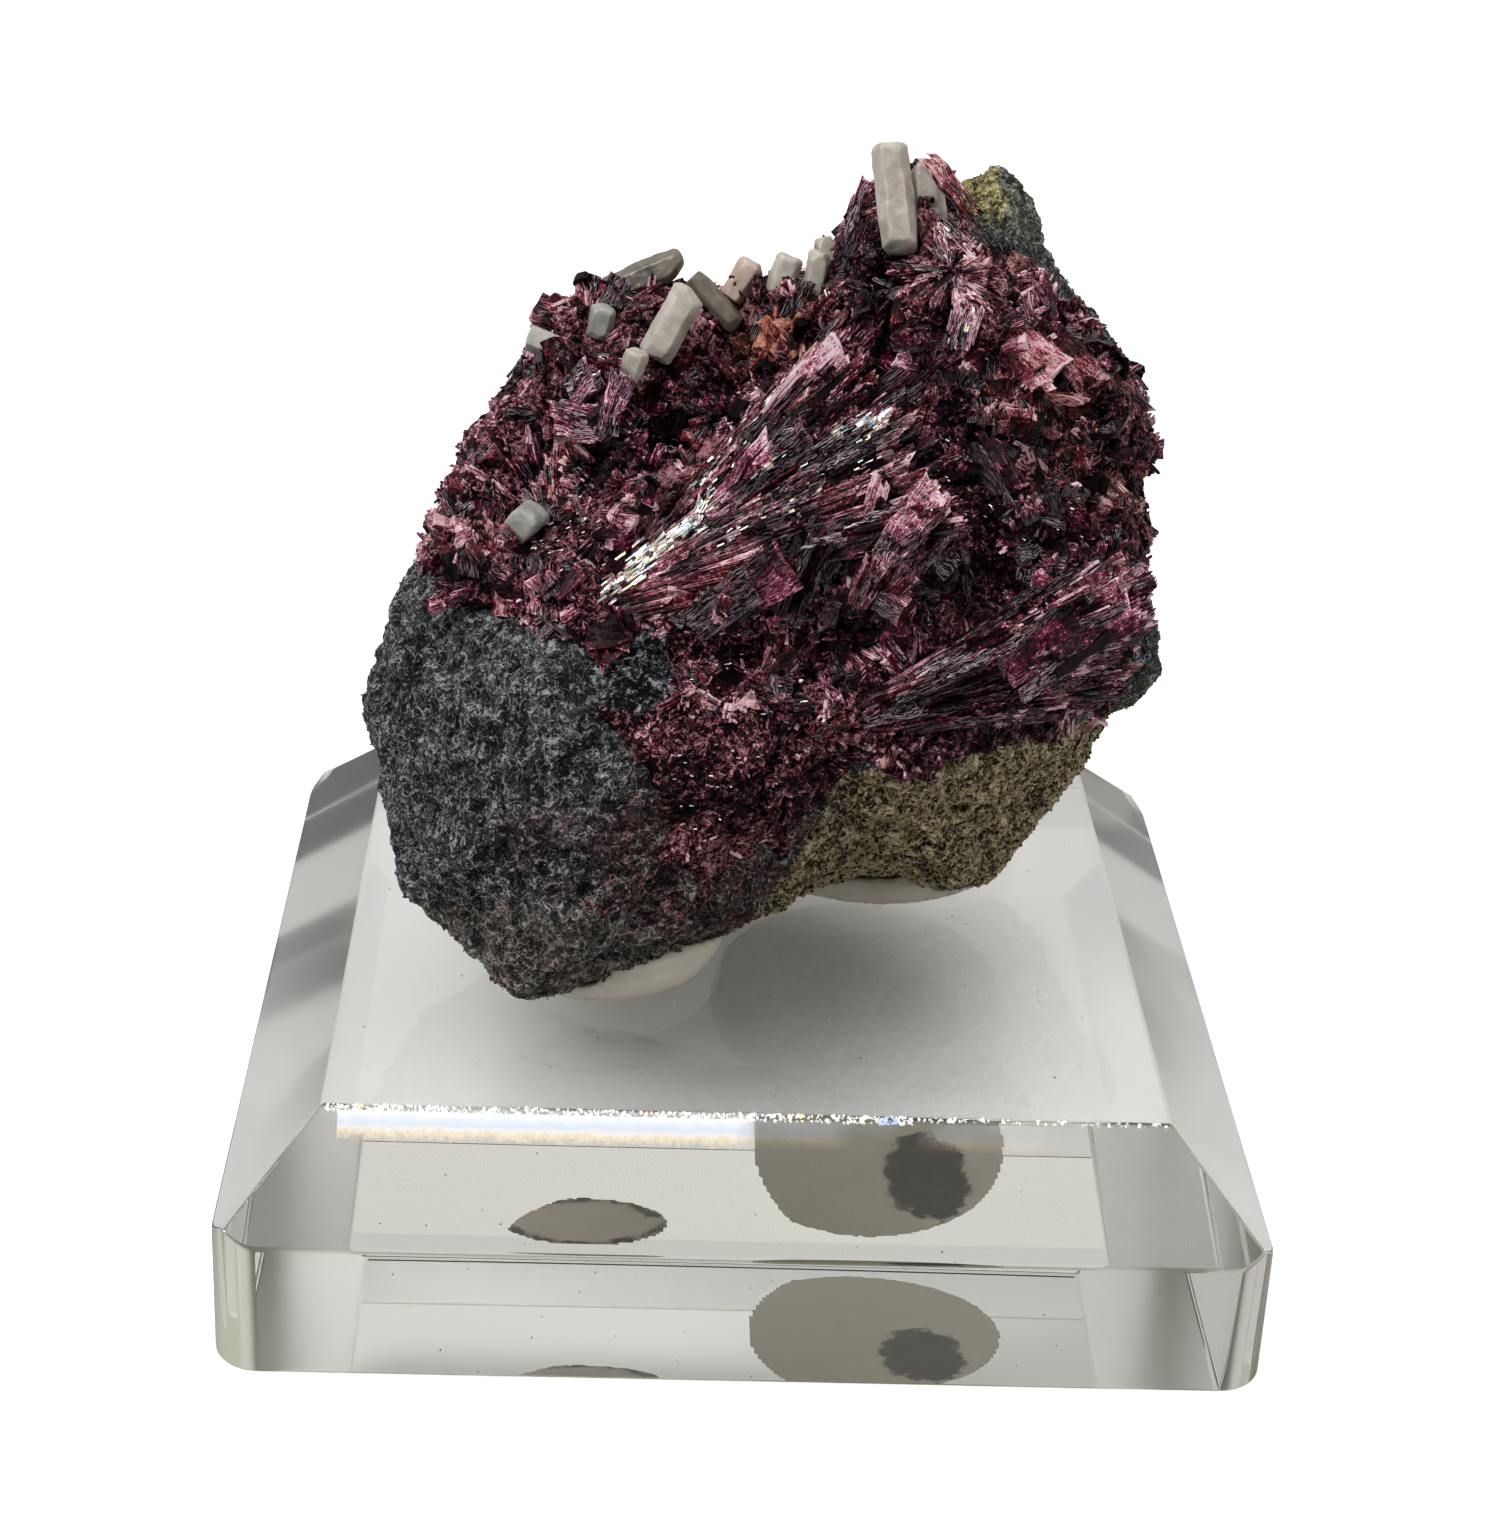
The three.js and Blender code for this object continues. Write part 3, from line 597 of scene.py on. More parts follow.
PALE_TONES = [(0.3, (0.34, 0.29, 0.25)), (0.5, (0.46, 0.42, 0.37)), (0.7, (0.58, 0.55, 0.49))]
GREY_CRYSTAL_TONES = [(0.3, (0.07, 0.06, 0.046)), (0.7, (0.24, 0.21, 0.17))]
ASHEN_TONES = [(0.3, (0.23, 0.23, 0.21)), (0.7, (0.5, 0.5, 0.46))]
PINK_TONES = [(0.3, (0.42, 0.28, 0.24)), (0.7, (0.62, 0.52, 0.46))]
pale_finish = make_waxy_finish("pale crystal", PALE_TONES, 0.6)
grey_finish = make_waxy_finish("olive-grey crystal", GREY_CRYSTAL_TONES, 0.35)
ashen_finish = make_waxy_finish("ash-grey crystal", ASHEN_TONES, 0.4)
pink_finish = make_waxy_finish("pinkish crystal", PINK_TONES, 0.6)
CRYSTAL_FINISHES = {
    "pale_crystal_cube": ashen_finish,
    "grey_crystal_small": ashen_finish,
    "pale_crystal_pink": pink_finish,
}
print("finishes:", pale_finish.name, grey_finish.name, ashen_finish.name, pink_finish.name)

# %% Putty finish
PUTTY_TONES = [(0.3, (0.58, 0.54, 0.44)), (0.7, (0.66, 0.62, 0.53))]
DARK_PATCH_TONES = [(0.35, (0.006, 0.004, 0.003)), (0.7, (0.14, 0.11, 0.08))]


def make_putty_finish():
    """Off-white putty; it is darker where the rock's foot nearly touches the block, and in a thin ring round
    the front pad's bond.
    """
    material = make_waxy_finish("mounting putty", PUTTY_TONES, 0.25)
    tree = material.node_tree
    base = tree.nodes["Principled BSDF"].inputs["Base Color"]
    place = add_node(tree, "ShaderNodeTexCoord").outputs["Object"]
    wander = calc(tree, "SUBTRACT", noise(tree, place, 900.0, 4.0, 0.65), 0.5)
    dark_patch = between(tree, calc(tree, "ADD", attribute(tree, "dark_patch"), wander), -0.05, 0.12)
    dark = ramp(tree, noise(tree, place, 2500.0, 4.0, 0.7), DARK_PATCH_TONES)
    tree.links.new(mix(tree, dark_patch, base.links[0].from_socket, dark), base)
    return material


putty_finish = make_putty_finish()
print("finish:", putty_finish.name)

# %% Acrylic finish
# on the block's side slopes the way out from the middle and the height add up to 32.4 mm
SIDE_SLOPES = (32.2 * MM, 32.35 * MM)
ABOVE_SIDES = (7.1 * MM, 7.2 * MM)
SLOPE_ROUGHNESS = 0.18
HAZE_ROUGHNESS = 0.03


def make_acrylic_finish():
    material, tree, shader, place = new_material("clear acrylic")
    haze = between(tree, noise(tree, place, 60.0, 3.0), 0.55, 0.8)
    across, _, height = add_node(tree, "ShaderNodeSeparateXYZ", {0: place}).outputs
    out_and_up = calc(tree, "ADD", calc(tree, "ABSOLUTE", across), height)
    slopes = between(tree, out_and_up, *SIDE_SLOPES)
    worn = calc(tree, "MULTIPLY", slopes, between(tree, height, *ABOVE_SIDES))
    worn = calc(tree, "MULTIPLY", worn, SLOPE_ROUGHNESS)
    fill(tree, shader, {
        "Base Color": (1.0, 1.0, 1.0, 1.0),
        "Roughness": plus(tree, worn, haze, HAZE_ROUGHNESS),
        "Transmission Weight": 1.0,
        "IOR": 1.49,
    })
    depth = add_node(tree, "ShaderNodeVolumeAbsorption", {"Color": (0.8, 0.8, 0.6, 1.0), "Density": 5.0})
    tree.links.new(depth.outputs["Volume"], tree.nodes["Material Output"].inputs["Volume"])
    return material


acrylic_finish = make_acrylic_finish()
print("finish:", acrylic_finish.name)

# %% [markdown]
# ## Helpers for meshes
# A solid from the frame is loose triangles with a few large facets. A merged copy of it, meshed again with
# small even faces, can take fine relief. Modifiers do the work, and their result is kept as a plain mesh.
# Broken crystals and the cut block share two more steps: a flat cut, and a narrow bevel on every sharp edge.
# %% Mesh helpers
SAME_POINT = 0.0005 * MM
SHARP_ANGLE = math.radians(25)


def new_object(name, mesh, finish=None):
    made = bpy.data.objects.new(name, mesh)
    bpy.context.scene.collection.objects.link(made)
    if finish is not None:
        mesh.materials.append(finish)
    return made


def object_from(form, name):
    """Turns a form that is being worked on into an object."""
    mesh = bpy.data.meshes.new(name)
    form.to_mesh(mesh)
    form.free()
    return new_object(name, mesh)


def merged_copy(name, node):
    """A closed copy of one of the frame's solids."""
    form = bmesh.new()
    form.from_mesh(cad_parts[node].data)
    bmesh.ops.remove_doubles(form, verts=form.verts, dist=SAME_POINT)
    return object_from(form, name)


def cut_flat(form, spot, way):
    """Cuts a form along a plane, drops what lies beyond it and closes the cut."""
    everything = form.verts[:] + form.edges[:] + form.faces[:]
    cut = bmesh.ops.bisect_plane(form, geom=everything, plane_co=spot, plane_no=way, clear_outer=True)
    rim = [item for item in cut["geom_cut"] if isinstance(item, bmesh.types.BMEdge)]
    bmesh.ops.holes_fill(form, edges=rim)


def settle(made):
    """Keeps what the modifiers make as a plain mesh, and removes them."""
    depsgraph = bpy.context.evaluated_depsgraph_get()
    mesh = bpy.data.meshes.new_from_object(made.evaluated_get(depsgraph), depsgraph=depsgraph)
    made.modifiers.clear()
    made.data = mesh
    return made


def bevel_edges(made, width, segments):
    bevel = made.modifiers.new("worn edges", "BEVEL")
    bevel.width = width
    bevel.segments = segments
    bevel.limit_method = "ANGLE"
    bevel.angle_limit = SHARP_ANGLE
    return settle(made)


def even_mesh(made, voxel, smoothing):
    remesh = made.modifiers.new("even faces", "REMESH")
    remesh.mode = "VOXEL"
    remesh.voxel_size = voxel
    soften = made.modifiers.new("soften", "SMOOTH")
    soften.factor = 0.5
    soften.iterations = smoothing
    return settle(made)


def grow(made, tree, **inputs):
    """Runs a Geometry Nodes tree on an object, with its inputs set by name, and keeps the result."""
    nodes = made.modifiers.new("grow", "NODES")
    nodes.node_group = tree
    sockets = {item.name: item.identifier for item in tree.interface.items_tree if item.in_out == "INPUT"}
    for name, value in inputs.items():
        nodes[sockets[name.replace("_", " ")]] = value
    return settle(made)


print("sharper than this many degrees, an edge is worn:", round(math.degrees(SHARP_ANGLE)))

# %% Values on a mesh, and distances to the solids
def corners_of(mesh):
    places = np.empty(len(mesh.vertices) * 3, np.float32)
    mesh.vertices.foreach_get("co", places)
    return places.reshape(-1, 3).astype(float)


def paint(mesh, name, values):
    """Gives each corner of a mesh a value, or three, under a name that a material or tree can read."""
    values = np.asarray(values, np.float32)
    if values.ndim == 1:
        mesh.attributes.new(name, "FLOAT", "POINT").data.foreach_set("value", values)
    else:
        mesh.attributes.new(name, "FLOAT_VECTOR", "POINT").data.foreach_set("vector", values.ravel())


def finder(*nodes):
    """A search tree over some of the frame's solids, to measure distances to them."""
    places, faces = [], []
    for node in nodes:
        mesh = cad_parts[node].data
        first = len(places)
        places += [corner.co for corner in mesh.vertices]
        faces += [[first + i for i in face.vertices] for face in mesh.polygons]
    return BVHTree.FromPolygons(places, faces)


def distance_to(search, points):
    far = 1.0
    found = (search.find_nearest(Vector(point))[3] for point in points)
    return np.array([far if gap is None else gap for gap in found]) / MM


CRYSTAL_NODES = sorted(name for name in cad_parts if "crystal_" in name)
rock_search = finder("matrix_rock")
crust_search = finder("erythrite_crystals")
crystal_search = finder(*CRYSTAL_NODES)
ground_search = finder("matrix_rock", "erythrite_crystals")
print("single crystals:", len(CRYSTAL_NODES))

# %% Put a piece on the body
def hand_in(piece, slot, *nodes):
    """The piece rides on the one body and stands for its solids, which are hidden. Its slot is not used."""
    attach(piece, "root")
    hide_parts(*nodes)
    mesh = piece.data
    mesh.calc_loop_triangles()
    print(f"{piece.name}: {len(mesh.loop_triangles)} triangles")


print("every piece will print how many triangles it has")

# %% [markdown]
# ## Relief of broken rock
# Broken rock has bumps of every size, each smaller one on the back of a larger. This is a rule, so Geometry
# Nodes move every point of the mesh along its normal by three sizes of noise. The two smaller ones are folded
# about their middle, which makes sharp crests. The tree also stores how far a point stands out, so that the
# finish can paint shade into the hollows and light onto the crests. Sculpting would have to be done again
# whenever the solid changes.
# %% Relief tree
def store(tree, geometry, name, value, data_type, domain="POINT"):
    """Keeps a value on a mesh under a name, for a finish to read."""
    values = {"Geometry": geometry, "Name": name, "Value": value}
    settings = {"data_type": data_type, "domain": domain}
    return add_node(tree, "GeometryNodeStoreNamedAttribute", values, **settings).outputs[0]


def make_relief_tree():
    given = [("Geometry", GEOMETRY, None), ("Swell", FLOAT, 0.0)]
    for size in ("Broad", "Middle", "Fine"):
        given += [(f"{size} Height", FLOAT, 0.0001), (f"{size} Scale", FLOAT, 500.0)]
    tree, start, end = new_group("broken relief", "GeometryNodeTree", given, [("Geometry", GEOMETRY)])
    place = add_node(tree, "GeometryNodeInputPosition").outputs[0]
    normal = add_node(tree, "GeometryNodeInputNormal").outputs[0]
    wave = calc(tree, "SUBTRACT", noise(tree, place, start["Broad Scale"], 2.0, 0.6), 0.5)
    broad = plus(tree, start["Swell"], wave, start["Broad Height"])
    total = broad
    for size in ("Middle", "Fine"):
        wave = calc(tree, "SUBTRACT", noise(tree, place, start[f"{size} Scale"], 2.0, 0.6), 0.5)
        crest = plus(tree, 0.22, calc(tree, "ABSOLUTE", wave), -2.0)
        total = plus(tree, total, crest, start[f"{size} Height"])
    depth = calc(tree, "DIVIDE", calc(tree, "SUBTRACT", total, broad), start["Middle Height"])
    marked = store(tree, start["Geometry"], "relief", depth, "FLOAT")
    moved = {"Geometry": marked, "Offset": vector_calc(tree, "SCALE", normal, total)}
    fill(tree, end, {"Geometry": add_node(tree, "GeometryNodeSetPosition", moved).outputs[0]})
    return tree


def roughen(made, swell, broad, middle, fine):
    """Moves a mesh out by swell, and gives it relief in three sizes, each a height in mm and a scale."""
    inputs = {"Swell": swell * MM}
    for size, (height, scale) in (("Broad", broad), ("Middle", middle), ("Fine", fine)):
        inputs[f"{size}_Height"] = height * MM
        inputs[f"{size}_Scale"] = scale
    return grow(made, relief_tree, **inputs)


relief_tree = make_relief_tree()
print("tree:", relief_tree.name)

# %% [markdown]
# ## Zones of the rock's face
# Each zone is a closed outline with only the points that its shape needs, as seen from the front. The distance
# inside an outline is positive within it and negative outside, which lets a border be soft or ragged later.
# %% Outlines of the zones
OLIVE_EDGE = [
    (4.6, -9.9), (10.2, -8.8), (18, -6.4), (26, -5), (26, -26),
    (0, -26), (0.6, -17.5), (2.2, -14.6), (3.4, -12.4),
]
RED_EDGE = [
    (-5.5, -9), (-2, -8), (8, -7), (6, -9.5), (4.8, -10.2), (3.2, -12.6),
    (1.6, -15.4), (0, -18.4), (-4, -18.8), (-6.6, -17.4), (-8.6, -14.6), (-6, -12),
]
TIP_EDGE = [(8.6, 17.6), (12, 17.8), (13.6, 16.4), (15, 17), (14, 24), (7, 24), (7.4, 20)]
SULPHUR_EDGE = [(9.4, 18.4), (11.2, 18.2), (11.7, 19.4), (11.2, 20.6), (11, 22), (7.6, 22.4), (8.2, 20)]
ASH_EDGE = [(-8.8, -5.8), (-7, -4.3), (-5.6, -3.6), (-4.3, -4.6), (-4.2, -6.6), (-5.6, -7.8), (-8, -7.4)]
# how deep each zone reaches behind the face, and where the brown rim and flank begin
DEEPEST_RED = -8.0
DEEPEST_TIP = -3.0
RIM_HEIGHT = -17.5
FLANK_DEPTH = -3.0
print("corners of the olive and the red outline:", len(OLIVE_EDGE), len(RED_EDGE))

# %% Distances inside the outlines
def depth_inside(outline, x, y):
    nearest = np.full(len(x), np.inf)
    inside = np.zeros(len(x), bool)
    for (ax, ay), (bx, by) in zip(outline, outline[1:] + outline[:1]):
        span = (bx - ax) ** 2 + (by - ay) ** 2
        share = np.clip(((x - ax) * (bx - ax) + (y - ay) * (by - ay)) / span, 0, 1)
        nearest = np.minimum(nearest, np.hypot(x - ax - share * (bx - ax), y - ay - share * (by - ay)))
        if by != ay:
            crossed = (ay > y) != (by > y)
            inside ^= crossed & (x < ax + (y - ay) * (bx - ax) / (by - ay))
    return np.where(inside, nearest, -nearest)


def paint_zones(mesh):
    x, y, z = to_face(corners_of(mesh)).T
    paint(mesh, "olive", depth_inside(OLIVE_EDGE, x, y))
    for name, outline, deepest in (
        ("red", RED_EDGE, DEEPEST_RED),
        ("tip", TIP_EDGE, DEEPEST_TIP),
        ("sulphur", SULPHUR_EDGE, DEEPEST_TIP),
    ):
        paint(mesh, name, np.minimum(depth_inside(outline, x, y), z - deepest))
    paint(mesh, "brown", np.maximum(RIM_HEIGHT - y, FLANK_DEPTH - z))


print("zones: olive, red, tip, sulphur, brown")

# %% Host rock
ROCK_VOXEL = 0.24 * MM
UNDER_CRUST = 0.5


def make_rock():
    rock = even_mesh(merged_copy("host_rock", "matrix_rock"), ROCK_VOXEL, 8)
    roughen(rock, 0.12, (1.8, 250.0), (1.0, 560.0), (0.55, 1700.0))
    paint_zones(rock.data)
    hidden = distance_to(crust_search, corners_of(rock.data)) < UNDER_CRUST
    paint(rock.data, "bare", 1.0 - hidden)
    rock.data.materials.append(rock_finish)
    hand_in(rock, "host_rock", "matrix_rock")
    return rock


host_rock = make_rock()

# %% [markdown]
# ## Grains on the rock
# Close up, the grey rock is a felt of tiny laths, and the olive part is a mass of small blocks. Thousands of
# them are scattered by Geometry Nodes: points on the faces, a block on each point, a random turn and size.
# The instances are realized at the end, because the finished model has to be plain mesh.
# %% Grain tree
def random_value(tree, seed, offset, data_type, values):
    """A random value for each grain; the offset keeps it apart from the other random values."""
    own_seed = add_node(tree, "FunctionNodeIntegerMath", {0: seed, 1: offset}, operation="ADD").outputs[0]
    values = {"Seed": own_seed, **values}
    return add_node(tree, "FunctionNodeRandomValue", values, data_type=data_type).outputs


def make_scatter_tree():
    given = [
        ("Geometry", GEOMETRY, None),
        ("Where", WORDS, "bare"),
        ("Per Square Metre", FLOAT, 1e6),
        ("Smallest", VECTOR, (0.0001, 0.0001, 0.0001)),
        ("Largest", VECTOR, (0.0003, 0.0003, 0.0003)),
        ("Tilt", FLOAT, 0.5),
        ("Seed", WHOLE, 1),
        ("Finish", MATERIAL, None),
    ]
    tree, start, end = new_group("scattered grains", "GeometryNodeTree", given, [("Geometry", GEOMETRY)])
    where = add_node(tree, "GeometryNodeInputNamedAttribute", {"Name": start["Where"]}, data_type="FLOAT")
    density = calc(tree, "MULTIPLY", where.outputs[0], start["Per Square Metre"])
    spread = {"Mesh": start["Geometry"], "Density": density, "Seed": start["Seed"]}
    points = add_node(tree, "GeometryNodeDistributePointsOnFaces", spread).outputs
    block = add_node(tree, "GeometryNodeMeshCube", {"Size": (1, 1, 1)}).outputs[0]
    back = calc(tree, "MULTIPLY", start["Tilt"], -1.0)
    least = add_node(tree, "ShaderNodeCombineXYZ", {0: back, 1: back, 2: -math.pi}).outputs[0]
    most = {0: start["Tilt"], 1: start["Tilt"], 2: math.pi}
    most = add_node(tree, "ShaderNodeCombineXYZ", most).outputs[0]
    turns = random_value(tree, start["Seed"], 1, "FLOAT_VECTOR", {0: least, 1: most})
    limits = {0: start["Smallest"], 1: start["Largest"]}
    sizes = random_value(tree, start["Seed"], 18, "FLOAT_VECTOR", limits)
    shade = random_value(tree, start["Seed"], 35, "FLOAT", {})
    euler = add_node(tree, "FunctionNodeEulerToRotation", {0: turns[0]}).outputs[0]
    turned = {"Rotation": points["Rotation"], "Rotate By": euler}
    rotation = add_node(tree, "FunctionNodeRotateRotation", turned, rotation_space="LOCAL").outputs[0]
    values = {"Points": points["Points"], "Instance": block, "Rotation": rotation, "Scale": sizes[0]}
    placed = add_node(tree, "GeometryNodeInstanceOnPoints", values).outputs[0]
    marked = store(tree, placed, "shade", shade[1], "FLOAT", "INSTANCE")
    real = add_node(tree, "GeometryNodeRealizeInstances", {"Geometry": marked}).outputs[0]
    finished = add_node(tree, "GeometryNodeSetMaterial", {"Geometry": real, "Material": start["Finish"]})
    fill(tree, end, {"Geometry": finished.outputs[0]})
    return tree


scatter_tree = make_scatter_tree()
print("tree:", scatter_tree.name)

# %% Grains of the rock
GREY_BARS = ((0.14, 0.04, 0.03), (0.42, 0.1, 0.08), 0.6, grey_grain_finish)
OLIVE_BLOCKS = ((0.1, 0.08, 0.06), (0.26, 0.2, 0.16), 0.9, olive_grain_finish)
RED_BLOCKS = ((0.1, 0.06, 0.05), (0.32, 0.18, 0.14), 0.9, red_grain_finish)
# name, ground, grains per square metre, shape and finish, seed
GRAINS = [
    ("grey_grains", "grey_ground", 4.6e6, GREY_BARS, 3),
    ("olive_grains", "olive_ground", 8e6, OLIVE_BLOCKS, 5),
    ("red_grains", "red_ground", 8e6, RED_BLOCKS, 7),
]
HIDDEN_SHARE = 0.35
HIDDEN_DEPTH = -9.0


def paint_grounds(mesh):
    """How densely each kind of grain lies: fully on the face, thinner on the hidden back."""
    olive, red, bare = (np.empty(len(mesh.vertices), np.float32) for _ in range(3))
    for name, values in (("olive", olive), ("red", red), ("bare", bare)):
        mesh.attributes[name].data.foreach_get("value", values)
    depth = to_face(corners_of(mesh))[:, 2]
    seen = np.where(depth > HIDDEN_DEPTH, 1.0, HIDDEN_SHARE) * bare
    on_olive = olive > 0
    on_red = (red > 0) & ~on_olive
    paint(mesh, "olive_ground", seen * on_olive)
    paint(mesh, "red_ground", seen * on_red)
    paint(mesh, "grey_ground", seen * ~(on_olive | on_red))


def scatter(name, ground, where, density, least, most, tilt, finish, seed):
    made = new_object(name, ground.data.copy())
    grow(
        made,
        scatter_tree,
        Where=where,
        Per_Square_Metre=density,
        Smallest=Vector(least) * MM,
        Largest=Vector(most) * MM,
        Tilt=tilt,
        Seed=seed,
        Finish=finish,
    )
    return made


paint_grounds(host_rock.data)
for name, where, density, (least, most, tilt, finish), seed in GRAINS:
    grains = scatter(name, host_rock, where, density, least, most, tilt, finish, seed)
    hand_in(grains, "host_rock", "matrix_rock")

# %% [markdown]
# ## The bed of the crust
# Under the loose laths the erythrite is one solid mass. Its solid in the frame already has the large fans,
# so it only needs a finer mesh and a rough, close-grained surface.
# %% Bed of the crust
BED_VOXEL = 0.26 * MM


def make_bed():
    bed = even_mesh(merged_copy("erythrite_bed", "erythrite_crystals"), BED_VOXEL, 2)
    roughen(bed, 0.0, (1.0, 330.0), (0.6, 900.0), (0.4, 2400.0))
    x, y, z = to_face(corners_of(bed.data)).T
    paint(bed.data, "ash", depth_inside(ASH_EDGE, x, y))
    bed.data.materials.append(bed_finish)
    hand_in(bed, "erythrite", "erythrite_crystals")
    return bed


erythrite_bed = make_bed()

# %% [markdown]
# ## A lath on every point
# A lath is a thin bar, narrower at its root and cut slantwise at its tip. One tree makes that bar and puts a
# copy on each point of a cloud, turned and sized by values that the point carries. So the crystals can be laid
# out by rules in a few lines of code, while Geometry Nodes build the tens of thousands of bars. The same tree
# with more corners in its bar makes broad plates, which the noise can crumple.
# %% Lath tree
def make_lath_tree(name, columns, rows):
    given = [
        ("Geometry", GEOMETRY, None),
        ("Root Width", FLOAT, 0.6),
        ("Tip Slant", FLOAT, 0.16),
        ("Crumple", FLOAT, 0.0001),
        ("Crumple Scale", FLOAT, 1000.0),
        ("Finish", MATERIAL, None),
    ]
    tree, start, end = new_group(name, "GeometryNodeTree", given, [("Geometry", GEOMETRY)])
    values = {"Size": (1, 1, 1), "Vertices X": columns, "Vertices Y": rows}
    bar = add_node(tree, "GeometryNodeMeshCube", values).outputs[0]
    place = add_node(tree, "GeometryNodeInputPosition").outputs[0]
    x, y, z = add_node(tree, "ShaderNodeSeparateXYZ", {0: place}).outputs
    along = calc(tree, "ADD", x, 0.5)
    narrow = calc(tree, "SUBTRACT", 1.0, start["Root Width"])
    width = plus(tree, start["Root Width"], narrow, along)
    slant = calc(tree, "MULTIPLY", calc(tree, "MULTIPLY", y, start["Tip Slant"]), along)
    shaped = {0: calc(tree, "ADD", along, slant), 1: calc(tree, "MULTIPLY", y, width), 2: z}
    shape = add_node(tree, "ShaderNodeCombineXYZ", shaped).outputs[0]
    lath = add_node(tree, "GeometryNodeSetPosition", {"Geometry": bar, "Position": shape}).outputs[0]
    here = add_node(tree, "GeometryNodeInputPosition").outputs[0]
    lath = store(tree, lath, LATH_PLACE, here, "FLOAT_VECTOR")
    way, facing, size = (
        add_node(tree, "GeometryNodeInputNamedAttribute", {"Name": name}, data_type="FLOAT_VECTOR").outputs[0]
        for name in ("along", "facing", LATH_SIZE)
    )
    values = {"Primary Axis": way, "Secondary Axis": facing}
    settings = {"primary_axis": "X", "secondary_axis": "Z"}
    rotation = add_node(tree, "FunctionNodeAxesToRotation", values, **settings).outputs[0]
    values = {"Points": start["Geometry"], "Instance": lath, "Rotation": rotation, "Scale": size}
    placed = add_node(tree, "GeometryNodeInstanceOnPoints", values).outputs[0]
    real = add_node(tree, "GeometryNodeRealizeInstances", {"Geometry": placed}).outputs[0]
    values = {"Vector": here, "Scale": start["Crumple Scale"], "Detail": 2.0}
    bend = add_node(tree, "ShaderNodeTexNoise", values).outputs["Color"]
    bend = vector_calc(tree, "SUBTRACT", bend, (0.5, 0.5, 0.5))
    bend = vector_calc(tree, "SCALE", bend, start["Crumple"])
    bent = add_node(tree, "GeometryNodeSetPosition", {"Geometry": real, "Offset": bend}).outputs[0]
    finished = add_node(tree, "GeometryNodeSetMaterial", {"Geometry": bent, "Material": start["Finish"]})
    fill(tree, end, {"Geometry": finished.outputs[0]})
    return tree


lath_tree = make_lath_tree("laths on points", 3, 2)
plate_tree = make_lath_tree("plates on points", 6, 4)
print("trees:", lath_tree.name, "and", plate_tree.name)

# %% [markdown]
# ## Books of laths
# Laths grow side by side in flat books, like the sticks of a closed fan, and a book of only a few broad laths
# is a plate. A book runs from a root to a tip and is a little wider at its tip. It has a few layers, and its
# laths start and stop at uneven places, which makes the steps and fine lines of the real plates. A cloud of
# laths is a growing list that every book adds its rows to: where a lath starts, its direction, the way its
# flat side faces, its size and its tint. Laths that would stand out of the object's own box are left out.
# %% Lath clouds
chance = np.random.default_rng(11)
BOX_MARGIN = 0.35 * MM


class Cloud:
    """Laths that become one piece; reach is how far from the solids a tip may be, in mm."""

    def __init__(self, name, finish, tree=lath_tree, crumple=0.3, reach=None):
        self.name = name
        self.finish = finish
        self.tree = tree
        self.crumple = crumple
        self.reach = reach
        self.rows = []

    def add(self, roots, along, facing, size, tint):
        self.rows.append(np.hstack([roots, along, facing, size, tint]))

    def build(self):
        rows = np.vstack(self.rows)
        tips = rows[:, 0:3] + rows[:, 3:6] * rows[:, 9:10]
        lowest, highest = np.array(cad_low) + BOX_MARGIN, np.array(cad_high) - BOX_MARGIN
        inside = np.all((tips > lowest) & (tips < highest), axis=1)
        rows = rows[inside]
        if self.reach is not None:
            rows = rows[distance_to(ground_search, tips[inside]) < self.reach]
        mesh = bpy.data.meshes.new(self.name)
        mesh.vertices.add(len(rows))
        mesh.vertices.foreach_set("co", rows[:, 0:3].astype(np.float32).ravel())
        for name, first in (("along", 3), ("facing", 6), (LATH_SIZE, 9), (LATH_TINT, 12)):
            paint(mesh, name, rows[:, first:first + 3])
        piece = new_object(self.name, mesh)
        grow(
            piece,
            self.tree,
            Root_Width=0.75,
            Tip_Slant=0.1,
            Crumple=self.crumple * MM,
            Crumple_Scale=900.0,
            Finish=self.finish,
        )
        hand_in(piece, "erythrite", "erythrite_crystals")
        return piece


def add_book(cloud, root, tip, facing, widths, laths, layers, thick, tint, ragged=0.25):
    """Lays a flat book of laths from root to tip; widths are its own at root and tip."""
    side = unit(np.cross(facing, tip - root))
    over = unit(np.cross(tip - root, side))
    for layer in range(layers):
        first, last = chance.uniform(0, 0.3, 2) * layer / layers
        shift = chance.uniform(-0.2, 0.2) * layer / layers
        level = over * (layer + 0.5 - layers / 2) * thick * 1.3 * MM
        place = (np.arange(laths) + 0.5) / laths - 0.5 + chance.uniform(-0.15, 0.15, laths) / laths
        broad = np.array(widths)[:, None] * MM * (1 - 0.25 * layer / layers)
        spread = broad * (place + shift)
        level = level + over * chance.normal(0, 0.35, laths)[:, None] * thick * MM
        starts = root + level + side * spread[0][:, None]
        ends = tip + level + side * spread[1][:, None]
        cut = chance.uniform(0, ragged, (2, laths))
        roots = starts + (ends - starts) * (cut[0] + first)[:, None]
        tips = starts + (ends - starts) * (1 - cut[1] - last)[:, None]
        lengths = np.linalg.norm(tips - roots, axis=1)
        tilt = chance.normal(0, 0.16, laths)[:, None]
        sizes = np.stack([
            lengths,
            broad[1] / laths * chance.uniform(0.6, 1.6, laths),
            thick * MM * chance.uniform(0.8, 1.5, laths),
        ], axis=1)
        own = np.array(tint) + chance.normal(0, 1, 3) * 0.04
        own = own + chance.normal(0, 1, (laths, 3)) * np.array([0.2 if laths > 3 else 0.08, 0.08, 0.16])
        cloud.add(roots, unit(tips - roots), unit(over + side * tilt), sizes, np.clip(own, 0, 1))


